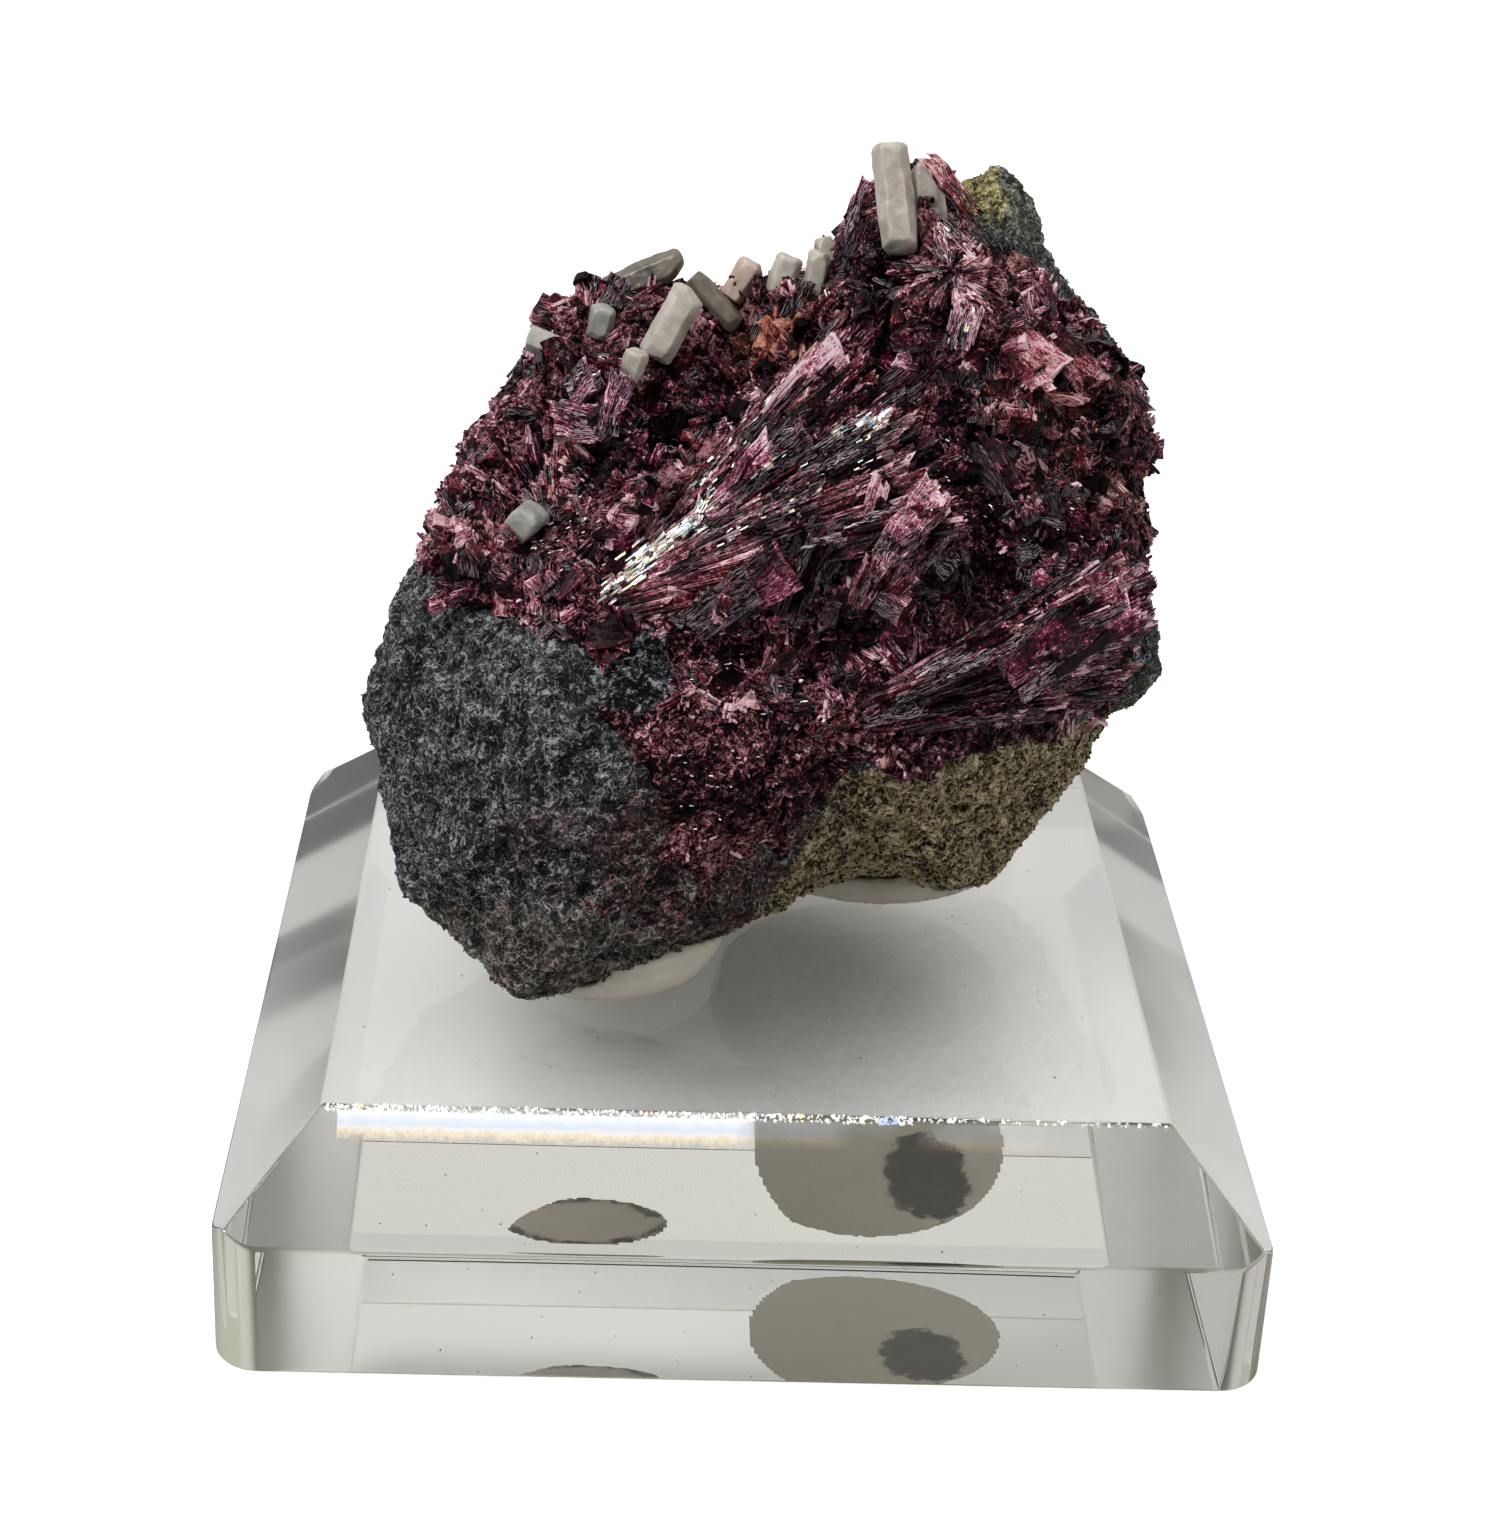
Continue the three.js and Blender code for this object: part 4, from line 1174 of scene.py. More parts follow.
fan_cloud = Cloud("fan_laths", lath_finish)
gleam_cloud = Cloud("gleaming_flakes", gleam_finish)
plate_cloud = Cloud("crumpled_plates", lath_finish, plate_tree, 0.75)
print("clouds:", fan_cloud.name, gleam_cloud.name, plate_cloud.name)

# %% [markdown]
# ## Named books of the face
# The books that give this specimen its look are placed one by one: the great fan that springs from the left,
# the raspberry slab, the broad plum and silvery plates, the low fan and the red blade at the peak. Each has a
# root and a tip on the face, and the surface under them gives their depth.
# %% Books of the face
# name, root, tip, widths, laths, layers, tint, roll in degrees, lift in mm
BOOKS = [
    ("upper streak", (-4.2, 2.2), (0.2, 8.8), (0.8, 1.2), 5, 2, (0.64, 0.15, 0.6), 0, 0.45),
    ("raspberry slab", (-2.4, 2.8), (0.3, 6.1), (1.2, 1.4), 2, 2, (0.66, 0.0, 0.0), 6, 1.0),
    ("pink plate", (0.4, 7.8), (3.8, 11.0), (1.4, 1.7), 2, 2, (0.68, 0.1, 0.4), -8, 0.6),
    ("dark slab", (0.1, 4.7), (2.0, 6.3), (1.5, 1.7), 2, 3, (0.16, 0.0, 0.3), 12, 0.6),
    ("silver and black a", (-1.8, 2.2), (2.6, 5.4), (1.1, 1.5), 6, 2, (0.42, 0.1, 0.7), 4, 0.5),
    ("silver and black b", (1.6, 4.2), (6.4, 7.6), (1.5, 1.9), 8, 2, (0.14, 0.1, 0.6), 0, 0.45),
    ("middle streak a", (-4.6, -0.2), (0.6, 3.4), (1.1, 1.5), 8, 2, (0.5, 0.2, 0.5), 6, 0.4),
    ("middle streak b", (-0.4, 2.2), (5.6, 5.6), (1.6, 2.2), 9, 2, (0.26, 0.2, 0.35), 2, 0.35),
    ("red streak a", (-7.4, -1.8), (-2.6, 1.0), (0.9, 1.4), 7, 2, (0.54, 0.3, 0.3), 0, 0.4),
    ("red streak b", (-3.4, 0.4), (2.4, 3.4), (1.4, 2.0), 9, 2, (0.4, 0.35, 0.2), 6, 0.35),
    ("lower dark", (-6.4, -2.4), (3.4, 1.9), (1.2, 1.9), 9, 2, (0.12, 0.3, 0.1), 10, 0.25),
    ("red root", (-9.0, -3.1), (-2.8, -1.2), (1.0, 1.7), 9, 2, (0.48, 0.45, 0.1), 0, 0.3),
    ("plum blade", (-3.6, -3.7), (1.0, -0.1), (1.0, 1.7), 1, 2, (0.26, 0.0, 0.1), 12, 0.6),
    ("steep black a", (0.8, -2.9), (2.6, 2.2), (1.5, 2.0), 3, 3, (0.0, 0.0, 0.04), -14, 0.6),
    ("steep black b", (2.4, -2.6), (5.0, 4.4), (1.2, 1.8), 8, 2, (0.04, 0.0, 0.35), 8, 0.4),
    ("silvery plate", (5.6, 0.2), (8.6, 4.2), (1.3, 1.9), 2, 3, (0.6, 0.0, 0.55), -12, 0.8),
    ("crimson arc", (4.9, -3.2), (6.9, 0.6), (0.7, 1.1), 2, 2, (0.3, 0.2, 0.3), 20, 0.6),
    # the laths in the hollow are painted dark, as painted shade
    ("hollow laths", (4.4, 14.2), (5.2, 9.6), (2.4, 2.8), 5, 1, (0.02, 0.0, 0.2), 0, 0.2),
    ("striated patch", (8.9, 10.9), (9.4, 13.2), (1.4, 1.6), 8, 2, (0.56, 0.05, 0.7), 0, 0.7),
    ("silvery patch", (7.6, 17.8), (9.9, 15.5), (1.0, 1.3), 5, 2, (0.56, 0.1, 0.8), 15, 0.6),
    ("left pink plate", (11.2, 11.9), (14.0, 9.4), (1.6, 2.4), 2, 2, (0.66, 0.4, 0.05), 14, 0.8),
    ("right pink plate", (13.0, 12.4), (16.6, 9.5), (1.7, 2.0), 2, 3, (0.5, 0.4, 0.1), -12, 0.8),
    ("salmon lip", (12.6, 9.3), (16.4, 9.0), (0.6, 0.7), 1, 2, (0.7, 0.5, 0.0), 40, 0.9),
    ("dark side shard", (9.8, 7.2), (12.4, 3.4), (1.5, 2.1), 2, 2, (0.22, 0.15, 0.05), 12, 0.6),
    ("edge block", (15.9, 11.2), (18.7, 8.9), (1.6, 1.8), 3, 3, (0.4, 0.5, 0.3), 14, 0.3),
    ("low fan crest", (4.4, -7.1), (12.5, -2.9), (1.0, 1.9), 7, 2, (0.36, 0.2, 0.2), 15, 0.4),
    ("low fan", (2.4, -8.4), (12.4, -5.2), (1.0, 1.9), 7, 2, (0.26, 0.25, 0.1), 0, 0.3),
    ("purple plate", (12.0, -5.4), (18.4, -0.2), (2.2, 3.6), 3, 3, (0.36, 0.0, 0.2), 8, 0.95),
    ("purple edge", (15.0, -1.2), (18.6, 1.2), (1.0, 1.5), 2, 2, (0.56, 0.15, 0.1), -10, 0.6),
    ("peak wall", (3.2, 15.2), (4.9, 20.2), (1.2, 1.6), 3, 2, (0.3, 0.2, 0.2), 0, 0.4),
    ("lower knob plate", (-10.6, 6.8), (-7.6, 6.2), (1.7, 1.7), 3, 3, (0.66, 0.0, 0.45), 5, 0.7),
    ("upright knob plate", (-8.1, 5.5), (-7.2, 8.8), (1.1, 1.2), 3, 2, (0.64, 0.0, 0.4), 10, 0.8),
    ("grey knob plate", (-10.2, 7.6), (-8.6, 9.2), (1.4, 1.6), 2, 2, (0.4, 0.0, 0.8), -10, 0.6),
    ("dark side plate", (-13.6, 6.4), (-10.6, 7.0), (1.5, 1.7), 3, 2, (0.06, 0.0, 0.2), 10, 0.4),
    ("left pink spray", (-10.4, 1.4), (-11.5, 5.4), (0.9, 2.3), 7, 2, (0.54, 0.25, 0.2), 0, 0.5),
]
print("named books:", len(BOOKS))

# %% Gleaming flakes of the face
# name, root, tip, width, flakes, size of a flake
GLEAMS = [
    ("silver strip root", (-8.0, -2.0), (-6.9, -1.0), 0.8, 20, 0.4),
    ("silver strip", (-6.7, -0.9), (-4.6, 0.9), 1.3, 60, 0.45),
    ("silver strip end", (-4.6, 0.9), (-3.4, 1.8), 0.8, 18, 0.45),
    ("silver strip tip", (-3.4, 1.8), (-2.7, 4.2), 0.4, 14, 0.4),
    ("white glint", (4.4, 6.4), (5.6, 7.1), 0.6, 22, 0.45),
    ("streak glints", (-3.4, 1.8), (5.6, 7.4), 1.6, 90, 0.24),
    ("upper streak glints", (-3.6, 3.2), (0.4, 8.8), 1.0, 50, 0.26),
    ("middle streak glints", (-4.0, 0.6), (5.4, 5.0), 1.6, 60, 0.2),
    ("black book glints", (1.8, -2.0), (4.8, 4.0), 1.8, 40, 0.16),
    ("knob glint", (-9.6, 8.6), (-8.6, 9.0), 0.5, 12, 0.3),
    ("striated glints", (9.0, 11.2), (9.4, 13.2), 0.8, 20, 0.35),
    ("peak glints", (8.0, 17.4), (9.6, 15.8), 0.6, 24, 0.32),
    ("crest glint", (2.2, 14.4), (2.7, 13.3), 0.25, 10, 0.4),
    ("plate glints", (5.8, 0.8), (8.4, 4.0), 1.2, 30, 0.16),
    ("foot glints", (-4.4, -5.6), (3.8, -4.8), 3.0, 30, 0.12),
    ("side glints", (-12.0, 0.0), (-8.0, 1.6), 3.4, 50, 0.13),
    ("right glints", (8.0, 6.0), (16.0, 2.0), 5.0, 50, 0.11),
    ("low glints", (-4.0, -11.0), (2.0, -12.0), 4.0, 30, 0.1),
]
print("groups of gleaming flakes:", len(GLEAMS))

# %% Depth of the face and the way a flake looks
KEY_LIGHT_PLACE = Vector((-260, -260, 420)) * MM


def face_depth(x, y):
    """How far out of the face the solids reach at a point seen from the front."""
    above = 60.0
    start = to_frame((x, y, above))[0]
    found = [search.ray_cast(Vector(start), Vector(-AXES[:, 2]))[3] for search in (rock_search, crust_search)]
    reached = [above - gap / MM for gap in found if gap is not None]
    return max(reached) if reached else 0.0


def gleam_facing(point):
    """The way a flat face looks when it throws the key light into the camera."""
    to_camera = unit(np.array(CAMERA_PLACE) - point)
    to_light = unit(np.array(KEY_LIGHT_PLACE) - point)
    return unit(to_camera + to_light)


def rolled(facing, axis, degrees):
    turn = Matrix.Rotation(math.radians(degrees), 3, Vector(axis))
    return np.array(turn @ Vector(facing))


print("depth of the face at its middle in mm:", round(face_depth(0, 0), 1))

# %% Lay the named books and the flakes
# up to this many laths a book is a plate
BROADEST_BOOK = 3
# how deep a book's root is sunk, its laths' thickness, and how far a flake lies off the surface, in mm
ROOT_SINK = 0.4
LATH_THICKNESS = 0.13
FLAKE_LIFT = (0.45, 0.75)
FLAKE_SCATTER = 0.19
RED_BLADE = [(9.9, 17.7, 6.4), (7.1, 21.0, 6.3)]
STAR_MIDDLE, STAR_REACH, STAR_BOOKS = (8.6, 15.0), 3.0, 34


def lay_named_books():
    for name, root, tip, widths, laths, layers, tint, roll, lift in BOOKS:
        middle = ((root[0] + tip[0]) / 2, (root[1] + tip[1]) / 2)
        low, half, high = (face_depth(*point) for point in (root, middle, tip))
        short = max(0.0, half - (low + high) / 2)
        ends = to_frame([(*root, low + short + lift - ROOT_SINK), (*tip, high + short + lift)])
        facing = rolled(AXES[:, 2], unit(ends[1] - ends[0]), roll)
        cloud, ragged = (fan_cloud, 0.45) if laths > BROADEST_BOOK else (plate_cloud, 0.2)
        add_book(cloud, *ends, facing, widths, laths, layers, LATH_THICKNESS, tint, ragged)


def lay_gleams():
    for name, root, tip, width, flakes, size in GLEAMS:
        run = unit(np.array(tip) - np.array(root))
        sideways = np.array((-run[1], run[0]))
        for share, off in zip(chance.uniform(0, 1, flakes), chance.normal(0, 0.3, flakes)):
            x, y = np.array(root) * (1 - share) + np.array(tip) * share + sideways * off * width
            depth = face_depth(x, y)
            centre = to_frame((x, y, depth + chance.uniform(*FLAKE_LIFT)))[0]
            facing = unit(gleam_facing(centre) + chance.normal(0, FLAKE_SCATTER, 3))
            along = to_frame((x + run[0], y + run[1], depth))[0] - to_frame((x, y, depth))[0]
            along = unit(along - facing * (along @ facing))
            half = along * size * chance.uniform(0.5, 1.4) * MM
            wide = size * chance.uniform(0.15, 0.5)
            ends = (centre - half, centre + half)
            add_book(gleam_cloud, *ends, facing, (wide, wide), 1, 1, 0.04, (1, 0, 1), 0.2)


def lay_red_blade():
    """One long red blade leans out past the pale crystals at the peak."""
    add_book(plate_cloud, *to_frame(RED_BLADE), AXES[:, 2], (1.2, 0.8), 2, 2, 0.2, (0.62, 0.5, 0.1), 0.05)


def lay_star():
    """A star of narrow books under the peak."""
    for angle in np.linspace(0, 2 * math.pi, STAR_BOOKS) + chance.normal(0, 0.12, STAR_BOOKS):
        way = np.array((math.cos(angle), math.sin(angle)))
        root = np.array(STAR_MIDDLE) + way * 0.3
        tip = np.array(STAR_MIDDLE) + way * STAR_REACH * chance.uniform(0.45, 1)
        low, high = face_depth(*root) + 0.25, face_depth(*tip) + chance.uniform(0.4, 0.9)
        ends = to_frame([(*root, low), (*tip, high)])
        tint = (chance.choice((0.1, 0.5, 0.8)), 0.25, chance.choice((0.1, 0.6)))
        add_book(fan_cloud, *ends, AXES[:, 2], (0.2, 0.5), 3, 2, 0.1, tint, 0.4)


lay_named_books()
lay_red_blade()
lay_star()
lay_gleams()
print("books laid so far:", len(fan_cloud.rows) + len(plate_cloud.rows), "flakes:", len(gleam_cloud.rows))

# %% [markdown]
# ## Sprays all over the crust
# Between the named books the crust is covered with small sprays. Each spreads from a centre a little below
# the surface, so laths near the centre stand up and those farther off lie flat, as in the real mineral.
# Every point on the crust takes the fan that it lies in, or else the nearest centre. Its tint comes from a
# few patches, such as the shaded hollow, the orange glow and the brown right side; the hollow, the cavity and
# the gullies are painted shade and the orange glow is painted light. Some places stay empty, so
# that the dark bed shows between the books.
# %% Fans and patches
# name, root, arc in degrees, reach in mm, sink of the root in mm
FANS = [
    ("great fan", (-8.4, -2.3), (13, 53), 19.0, 1.0),
    ("low fan", (2.4, -8.4), (8, 36), 19.0, 0.8),
    ("steep books", (3.4, -4.4), (48, 80), 9.5, 1.0),
    ("star spray", (8.2, 15.2), (-180, 180), 2.6, 1.2),
    ("left spray", (-10.5, 1.4), (84, 150), 4.6, 1.0),
]
# the shaded hollow, the shaded cavity and the shaded gullies are painted shade; the orange glow and its edge
# are painted light shining through thin laths
# from, to, radius in mm, tint
PATCHES = [
    ("orange glow", (-1.6, 11.4), (0.4, 10.8), 1.8, (0.38, 0.9, 0.0)),
    ("glow edge", (0.3, 12.4), (1.8, 12.6), 1.2, (0.4, 0.8, 0.0)),
    ("shaded gully", (-8.0, 4.0), (-1.0, 8.6), 1.6, (0.02, 0.1, 0.05)),
    ("shaded gully end", (-1.0, 8.2), (0.6, 9.4), 0.9, (0.03, 0.2, 0.0)),
    ("black hollow", (4.6, 14.4), (5.2, 9.4), 1.9, (0.06, 0.1, 0.1)),
    ("shaded cavity", (14.6, 3.4), (17.4, 3.6), 1.6, (0.0, 0.1, 0.0)),
    ("shaded gully under the fan", (-0.6, -4.6), (4.6, -3.2), 1.1, (0.1, 0.3, 0.05)),
    ("granular foot", (-5, -11.6), (3.4, -10.6), 3.4, (0.22, 0.4, 0.1)),
    ("red spots", (-8.4, -6.4), (-6.4, -1.0), 0.9, (0.6, 0.3, 0.0)),
    ("brown right", (12, 8.6), (19, 6), 2.8, (0.34, 0.5, 0.12)),
    ("dark right", (8.6, 6.4), (10, 0.6), 2.6, (0.1, 0.2, 0.1)),
    ("left sprays", (-13.5, 3.4), (-7, 0.6), 2.8, (0.5, 0.25, 0.3)),
    ("upper edge of the fan", (-6.6, 1.6), (0.6, 9.2), 0.8, (0.68, 0.2, 0.5)),
    ("fan middle", (-4.4, 0.4), (5.0, 5.4), 1.4, (0.44, 0.2, 0.45)),
    ("fan foot", (-6.0, -2.2), (3.0, 0.6), 1.0, (0.32, 0.3, 0.15)),
    ("black of the fan", (0.4, -1.4), (5.4, 4.4), 1.8, (0.02, 0.1, 0.25)),
    ("star", (8.2, 15.2), (9.4, 13.6), 2.6, (0.42, 0.3, 0.25)),
    ("purple side", (13.5, -3.6), (19, 0), 2.4, (0.44, 0.05, 0.25)),
    ("low fan", (5, -6.6), (13, -4), 1.8, (0.3, 0.2, 0.15)),
    ("crest", (-10.5, 11), (-4, 14), 2.2, (0.46, 0.3, 0.3)),
]
COMMON_TINT = (COMMON_BRIGHTNESS, 0.2, 0.2)


def tint_at(x, y):
    tint = np.tile(np.array(COMMON_TINT), (len(x), 1))
    for name, (ax, ay), (bx, by), radius, patch in PATCHES:
        span = max((bx - ax) ** 2 + (by - ay) ** 2, 1e-6)
        share = np.clip(((x - ax) * (bx - ax) + (y - ay) * (by - ay)) / span, 0, 1)
        away = np.hypot(x - ax - share * (bx - ax), y - ay - share * (by - ay))
        weight = np.clip(1.4 - away / radius, 0, 1)[:, None]
        tint = tint * (1 - weight) + np.array(patch) * weight
    return tint


bed_points = to_face(corners_of(erythrite_bed.data))
# the bed takes the patches' brightness too, with their painted shade
paint(erythrite_bed.data, "shade", tint_at(bed_points[:, 0], bed_points[:, 1])[:, 0])
print("fans:", len(FANS), "patches:", len(PATCHES))

# %% Points on the crust
POINT_COUNT = 17000
CLEAR_OF_ROCK = 0.55
CLEAR_OF_CRYSTALS = 0.8


def spread_points(made, count):
    """Random points on a mesh, even by area, with the smoothed normal at each."""
    mesh = made.data
    mesh.calc_loop_triangles()
    faces = np.empty(len(mesh.loop_triangles) * 3, np.int32)
    mesh.loop_triangles.foreach_get("vertices", faces)
    faces = faces.reshape(-1, 3)
    places = corners_of(mesh)
    normals = np.empty(len(mesh.vertices) * 3, np.float32)
    mesh.vertex_normals.foreach_get("vector", normals)
    normals = normals.reshape(-1, 3)
    a, b, c = (places[faces[:, i]] for i in range(3))
    area = np.linalg.norm(np.cross(b - a, c - a), axis=1)
    picked = chance.choice(len(faces), count, p=area / area.sum())
    share = chance.dirichlet((1, 1, 1), count)
    points = sum(places[faces[picked, i]] * share[:, i:i + 1] for i in range(3))
    facing = unit(sum(normals[faces[picked, i]] * share[:, i:i + 1] for i in range(3)))
    return points, facing


def spaced(points, gap):
    """Keeps points that are at least gap apart."""
    kept = []
    for point in points:
        if all(np.linalg.norm(point - other) > gap for other in kept):
            kept.append(point)
    return np.array(kept)


points, normals = spread_points(erythrite_bed, POINT_COUNT)
clear_of_rock = distance_to(rock_search, points) > CLEAR_OF_ROCK
clear_of_crystals = distance_to(crystal_search, points) > CLEAR_OF_CRYSTALS
outer = clear_of_rock & clear_of_crystals
points, normals = points[outer], normals[outer]
print("points on the crust:", len(points))

# %% Which fan or centre a point belongs to
# how many books, shards and fan books there are at most
BOOK_COUNT = 3200
SHARD_COUNT = 1150
FAN_BOOK_COUNT = 620
# shards lie above this height of the face and in front of this depth, both in mm
LOWEST_SHARD = -6.0
SIDE_DEPTH = 2.5
DEEPEST_FAN = -4.0
CENTRE_TRIES = 1200
CENTRE_GAP = 3.0 * MM
# the size and the threshold of the noise that leaves some places empty
GAP_SCALE = 0.5
EMPTY_BELOW = -0.1


def fan_roots(points, face_points):
    """For each point, the root that its laths spread from and whether that is a named fan's."""
    nearest = np.array([np.argmin(np.linalg.norm(centres - point, axis=1)) for point in points])
    roots = (centres - centre_normals * centre_sinks)[nearest]
    in_fan = np.zeros(len(points), bool)
    x, y, z = face_points.T
    for name, (rx, ry), (first, last), reach, sink in FANS:
        angle = np.degrees(np.arctan2(y - ry, x - rx))
        away = np.hypot(x - rx, y - ry)
        here = (away < reach) & (angle > first) & (angle < last) & (z > DEEPEST_FAN) & ~in_fan
        roots[here] = to_frame((rx, ry, face_depth(rx, ry) - sink))[0]
        in_fan |= here
    return roots, in_fan


def is_filled(point):
    return mathutils_noise.noise(Vector(point / MM * GAP_SCALE)) > EMPTY_BELOW


centres = spaced(points[:CENTRE_TRIES], CENTRE_GAP)
centre_normals = np.array([normals[np.argmin(np.linalg.norm(points - centre, axis=1))] for centre in centres])
centre_sinks = chance.uniform(0.2, 0.9, len(centres))[:, None] * MM
face_points = to_face(points)
roots, in_fan = fan_roots(points, face_points)
filled = np.array([is_filled(point) for point in points])
filled &= depth_inside(ASH_EDGE, face_points[:, 0], face_points[:, 1]) < 0
loose = np.flatnonzero(~in_fan & filled)
general = loose[:BOOK_COUNT]
flat = (face_points[:, 1] > LOWEST_SHARD) & (face_points[:, 2] > SIDE_DEPTH)
shards = [index for index in loose[-SHARD_COUNT:] if flat[index]]
fanned = np.flatnonzero(in_fan)[:FAN_BOOK_COUNT]
print("spray centres:", len(centres), "books:", len(general), "fan books:", len(fanned))

# %% Clouds and tints of the sprays
# a tip is never farther from the solids than this, in mm
FARTHEST_TIP = 0.75
SPRAY_BORDERS = (-8.5, -2.0, 4.5, 11.0)
SPRAY_NAMES = ("far_left_sprays", "left_sprays", "middle_sprays", "right_sprays", "far_right_sprays")
spray_clouds = [Cloud(name, lath_finish, reach=FARTHEST_TIP) for name in SPRAY_NAMES]
low_cloud = Cloud("low_sprays", lath_finish, reach=FARTHEST_TIP)
back_cloud = Cloud("back_sprays", lath_finish, reach=FARTHEST_TIP)
# what a book adds to its patch's brightness and times its silver, and how often
SHADE_STEPS, SHADE_SHARES = (-0.34, -0.04, 0.3), (0.42, 0.32, 0.26)
SILVER_STEPS, SILVER_SHARES = (0.1, 0.8, 2.0), (0.5, 0.3, 0.2)


def book_tint(tint):
    """A book's own tint: mostly darker than its patch, now and then brighter or silvery."""
    bright = tint[0] + chance.choice(SHADE_STEPS, p=SHADE_SHARES) + chance.normal(0, 0.06)
    silver = tint[2] * chance.choice(SILVER_STEPS, p=SILVER_SHARES)
    return np.clip((bright, tint[1] + chance.normal(0, 0.12), silver), 0, 1)


print("clouds:", len(spray_clouds) + 2)

# %% Books of the sprays
# below this height of the face the crust is granular; the low and back clouds take what lies beyond these
GRANULAR_TOP = -7.5
LOW_CLOUD_TOP = -4.5
BACK_DEPTH = -3.0


def lay_spray_book(index, tint):
    point, normal, root = points[index], normals[index], roots[index]
    x, y, z = face_points[index]
    granular = y < GRANULAR_TOP and not in_fan[index]
    if in_fan[index]:
        length, wide = chance.uniform(1.4, 4.4), chance.uniform(0.4, 1.0)
        laths, layers, thick, rise, roll = int(chance.integers(3, 6)), 2, 0.1, (-0.06, 0.1), 16
    elif granular:
        length, wide = chance.uniform(0.3, 0.8), chance.uniform(0.2, 0.45)
        laths, layers, thick, rise, roll = 2, 1, 0.1, (0.0, 0.8), 50
    else:
        length, wide = chance.uniform(0.6, 2.1), chance.uniform(0.35, 1.1)
        laths, layers, thick, rise, roll = int(chance.integers(2, 6)), 2, 0.1, (-0.2, 0.2), 34
        rise = (-0.3, 0.0) if z < SIDE_DEPTH else rise
    along = unit(point - root + chance.normal(0, 0.15 if in_fan[index] else 0.45, 3) * MM)
    along = unit(along + normal * chance.uniform(*rise))
    facing = rolled(unit(normal - along * (normal @ along)), along, chance.normal(0, roll))
    ends = (point - along * 0.65 * length * MM, point + along * 0.35 * length * MM)
    cloud = low_cloud if y < LOW_CLOUD_TOP else spray_clouds[np.searchsorted(SPRAY_BORDERS, x)]
    cloud = back_cloud if z < BACK_DEPTH else cloud
    add_book(cloud, *ends, facing, (wide * 0.8, wide), laths, layers, thick, book_tint(tint), 0.3)


tints = tint_at(face_points[:, 0], face_points[:, 1])
for index in np.concatenate([general, fanned]):
    lay_spray_book(index, tints[index])
print("laid:", len(general) + len(fanned), "books of the sprays")

# %% Shards and ribbons
# black, deep red, silver on black, crimson, pale pink
RIBBON_TINTS = [(0.05, 0.1, 0.2), (0.3, 0.4, 0.0), (0.3, 0.1, 0.9), (0.5, 0.3, 0.2), (0.72, 0.15, 0.4)]
# how many ribbons each fan has, and how much darker than those tints they are
RIBBONS = ((70, 0.0), (14, 0.16), (10, 0.1), (0, 0.0), (8, 0.0))
SHARD_THICKNESSES = (0.1, 0.25, 0.45)
BRIGHTEST_SHARD = 0.56


def lay_ribbons(root, arc, reach, count, darker):
    """Long flat books that run with a fan, from near its root outwards."""
    for angle in chance.uniform(*np.radians(arc), count):
        way = np.array((math.cos(angle), math.sin(angle)))
        start = chance.uniform(0.08, 0.65) * reach
        end = min(start + chance.uniform(0.2, 0.45) * reach, reach)
        near, far = (np.array(root) + way * away for away in (start, end))
        low, half, high = (face_depth(*spot) for spot in (near, (near + far) / 2, far))
        short = max(0.0, half - (low + high) / 2) + chance.uniform(0.15, 0.5)
        ends = to_frame([(*near, low + short - 0.2), (*far, high + short)])
        facing = rolled(AXES[:, 2], unit(ends[1] - ends[0]), chance.normal(0, 18))
        wide = chance.uniform(0.4, 1.1)
        tint = np.array(RIBBON_TINTS[chance.integers(len(RIBBON_TINTS))]) - (darker, 0, 0)
        add_book(fan_cloud, *ends, facing, (wide * 0.7, wide), 3, 2, 0.14, tint, 0.3)


def lay_shard(index, tint):
    """A broken plate among the laths, lying nearly flat."""
    normal = normals[index]
    along = unit(np.cross(normal, chance.normal(0, 1, 3)))
    facing = rolled(normal, along, chance.normal(0, 26))
    length, wide = chance.uniform(0.6, 2.2), chance.uniform(0.4, 1.3)
    half = length / 2 * MM
    ends = (points[index] - along * half, points[index] + (along + normal * 0.12) * half)
    thick = chance.choice(SHARD_THICKNESSES)
    own = np.minimum(book_tint(tint), (BRIGHTEST_SHARD, 1, 1))
    add_book(plate_cloud, *ends, facing, (wide * 0.9, wide), 1, 1, thick, own, 0.1)


for index in shards:
    lay_shard(index, tints[index])
for (name, root, arc, reach, sink), (count, darker) in zip(FANS, RIBBONS):
    lay_ribbons(root, arc, reach, count, darker)
print("laid:", len(shards), "shards and", sum(count for count, darker in RIBBONS), "ribbons")

# %% Grow every cloud
for cloud in (fan_cloud, gleam_cloud, plate_cloud, *spray_clouds, low_cloud, back_cloud):
    cloud.build()

# %% [markdown]
# ## Pale crystals
# The single crystals are blunt prisms, broken slantwise at their ends and worn at their edges. A few flat cuts
# across the corners give the breaks. A bevel and a fine mesh with a little relief then take the sharpness off.
# %% Pale crystals
def break_corners(made, cuts, share):
    """Cuts corners off with flat faces; share is how far out from the middle each cut lies."""
    form = bmesh.new()
    form.from_mesh(made.data)
    for _ in range(cuts):
        places = np.array([corner.co for corner in form.verts])
        middle = (places.min(axis=0) + places.max(axis=0)) / 2
        way = unit(chance.normal(0, 1, 3))
        reach = ((places - middle) @ way).max()
        cut_flat(form, middle + way * reach * chance.uniform(share, 0.97), way)
    bmesh.ops.recalc_face_normals(form, faces=form.faces)
    form.to_mesh(made.data)
    form.free()


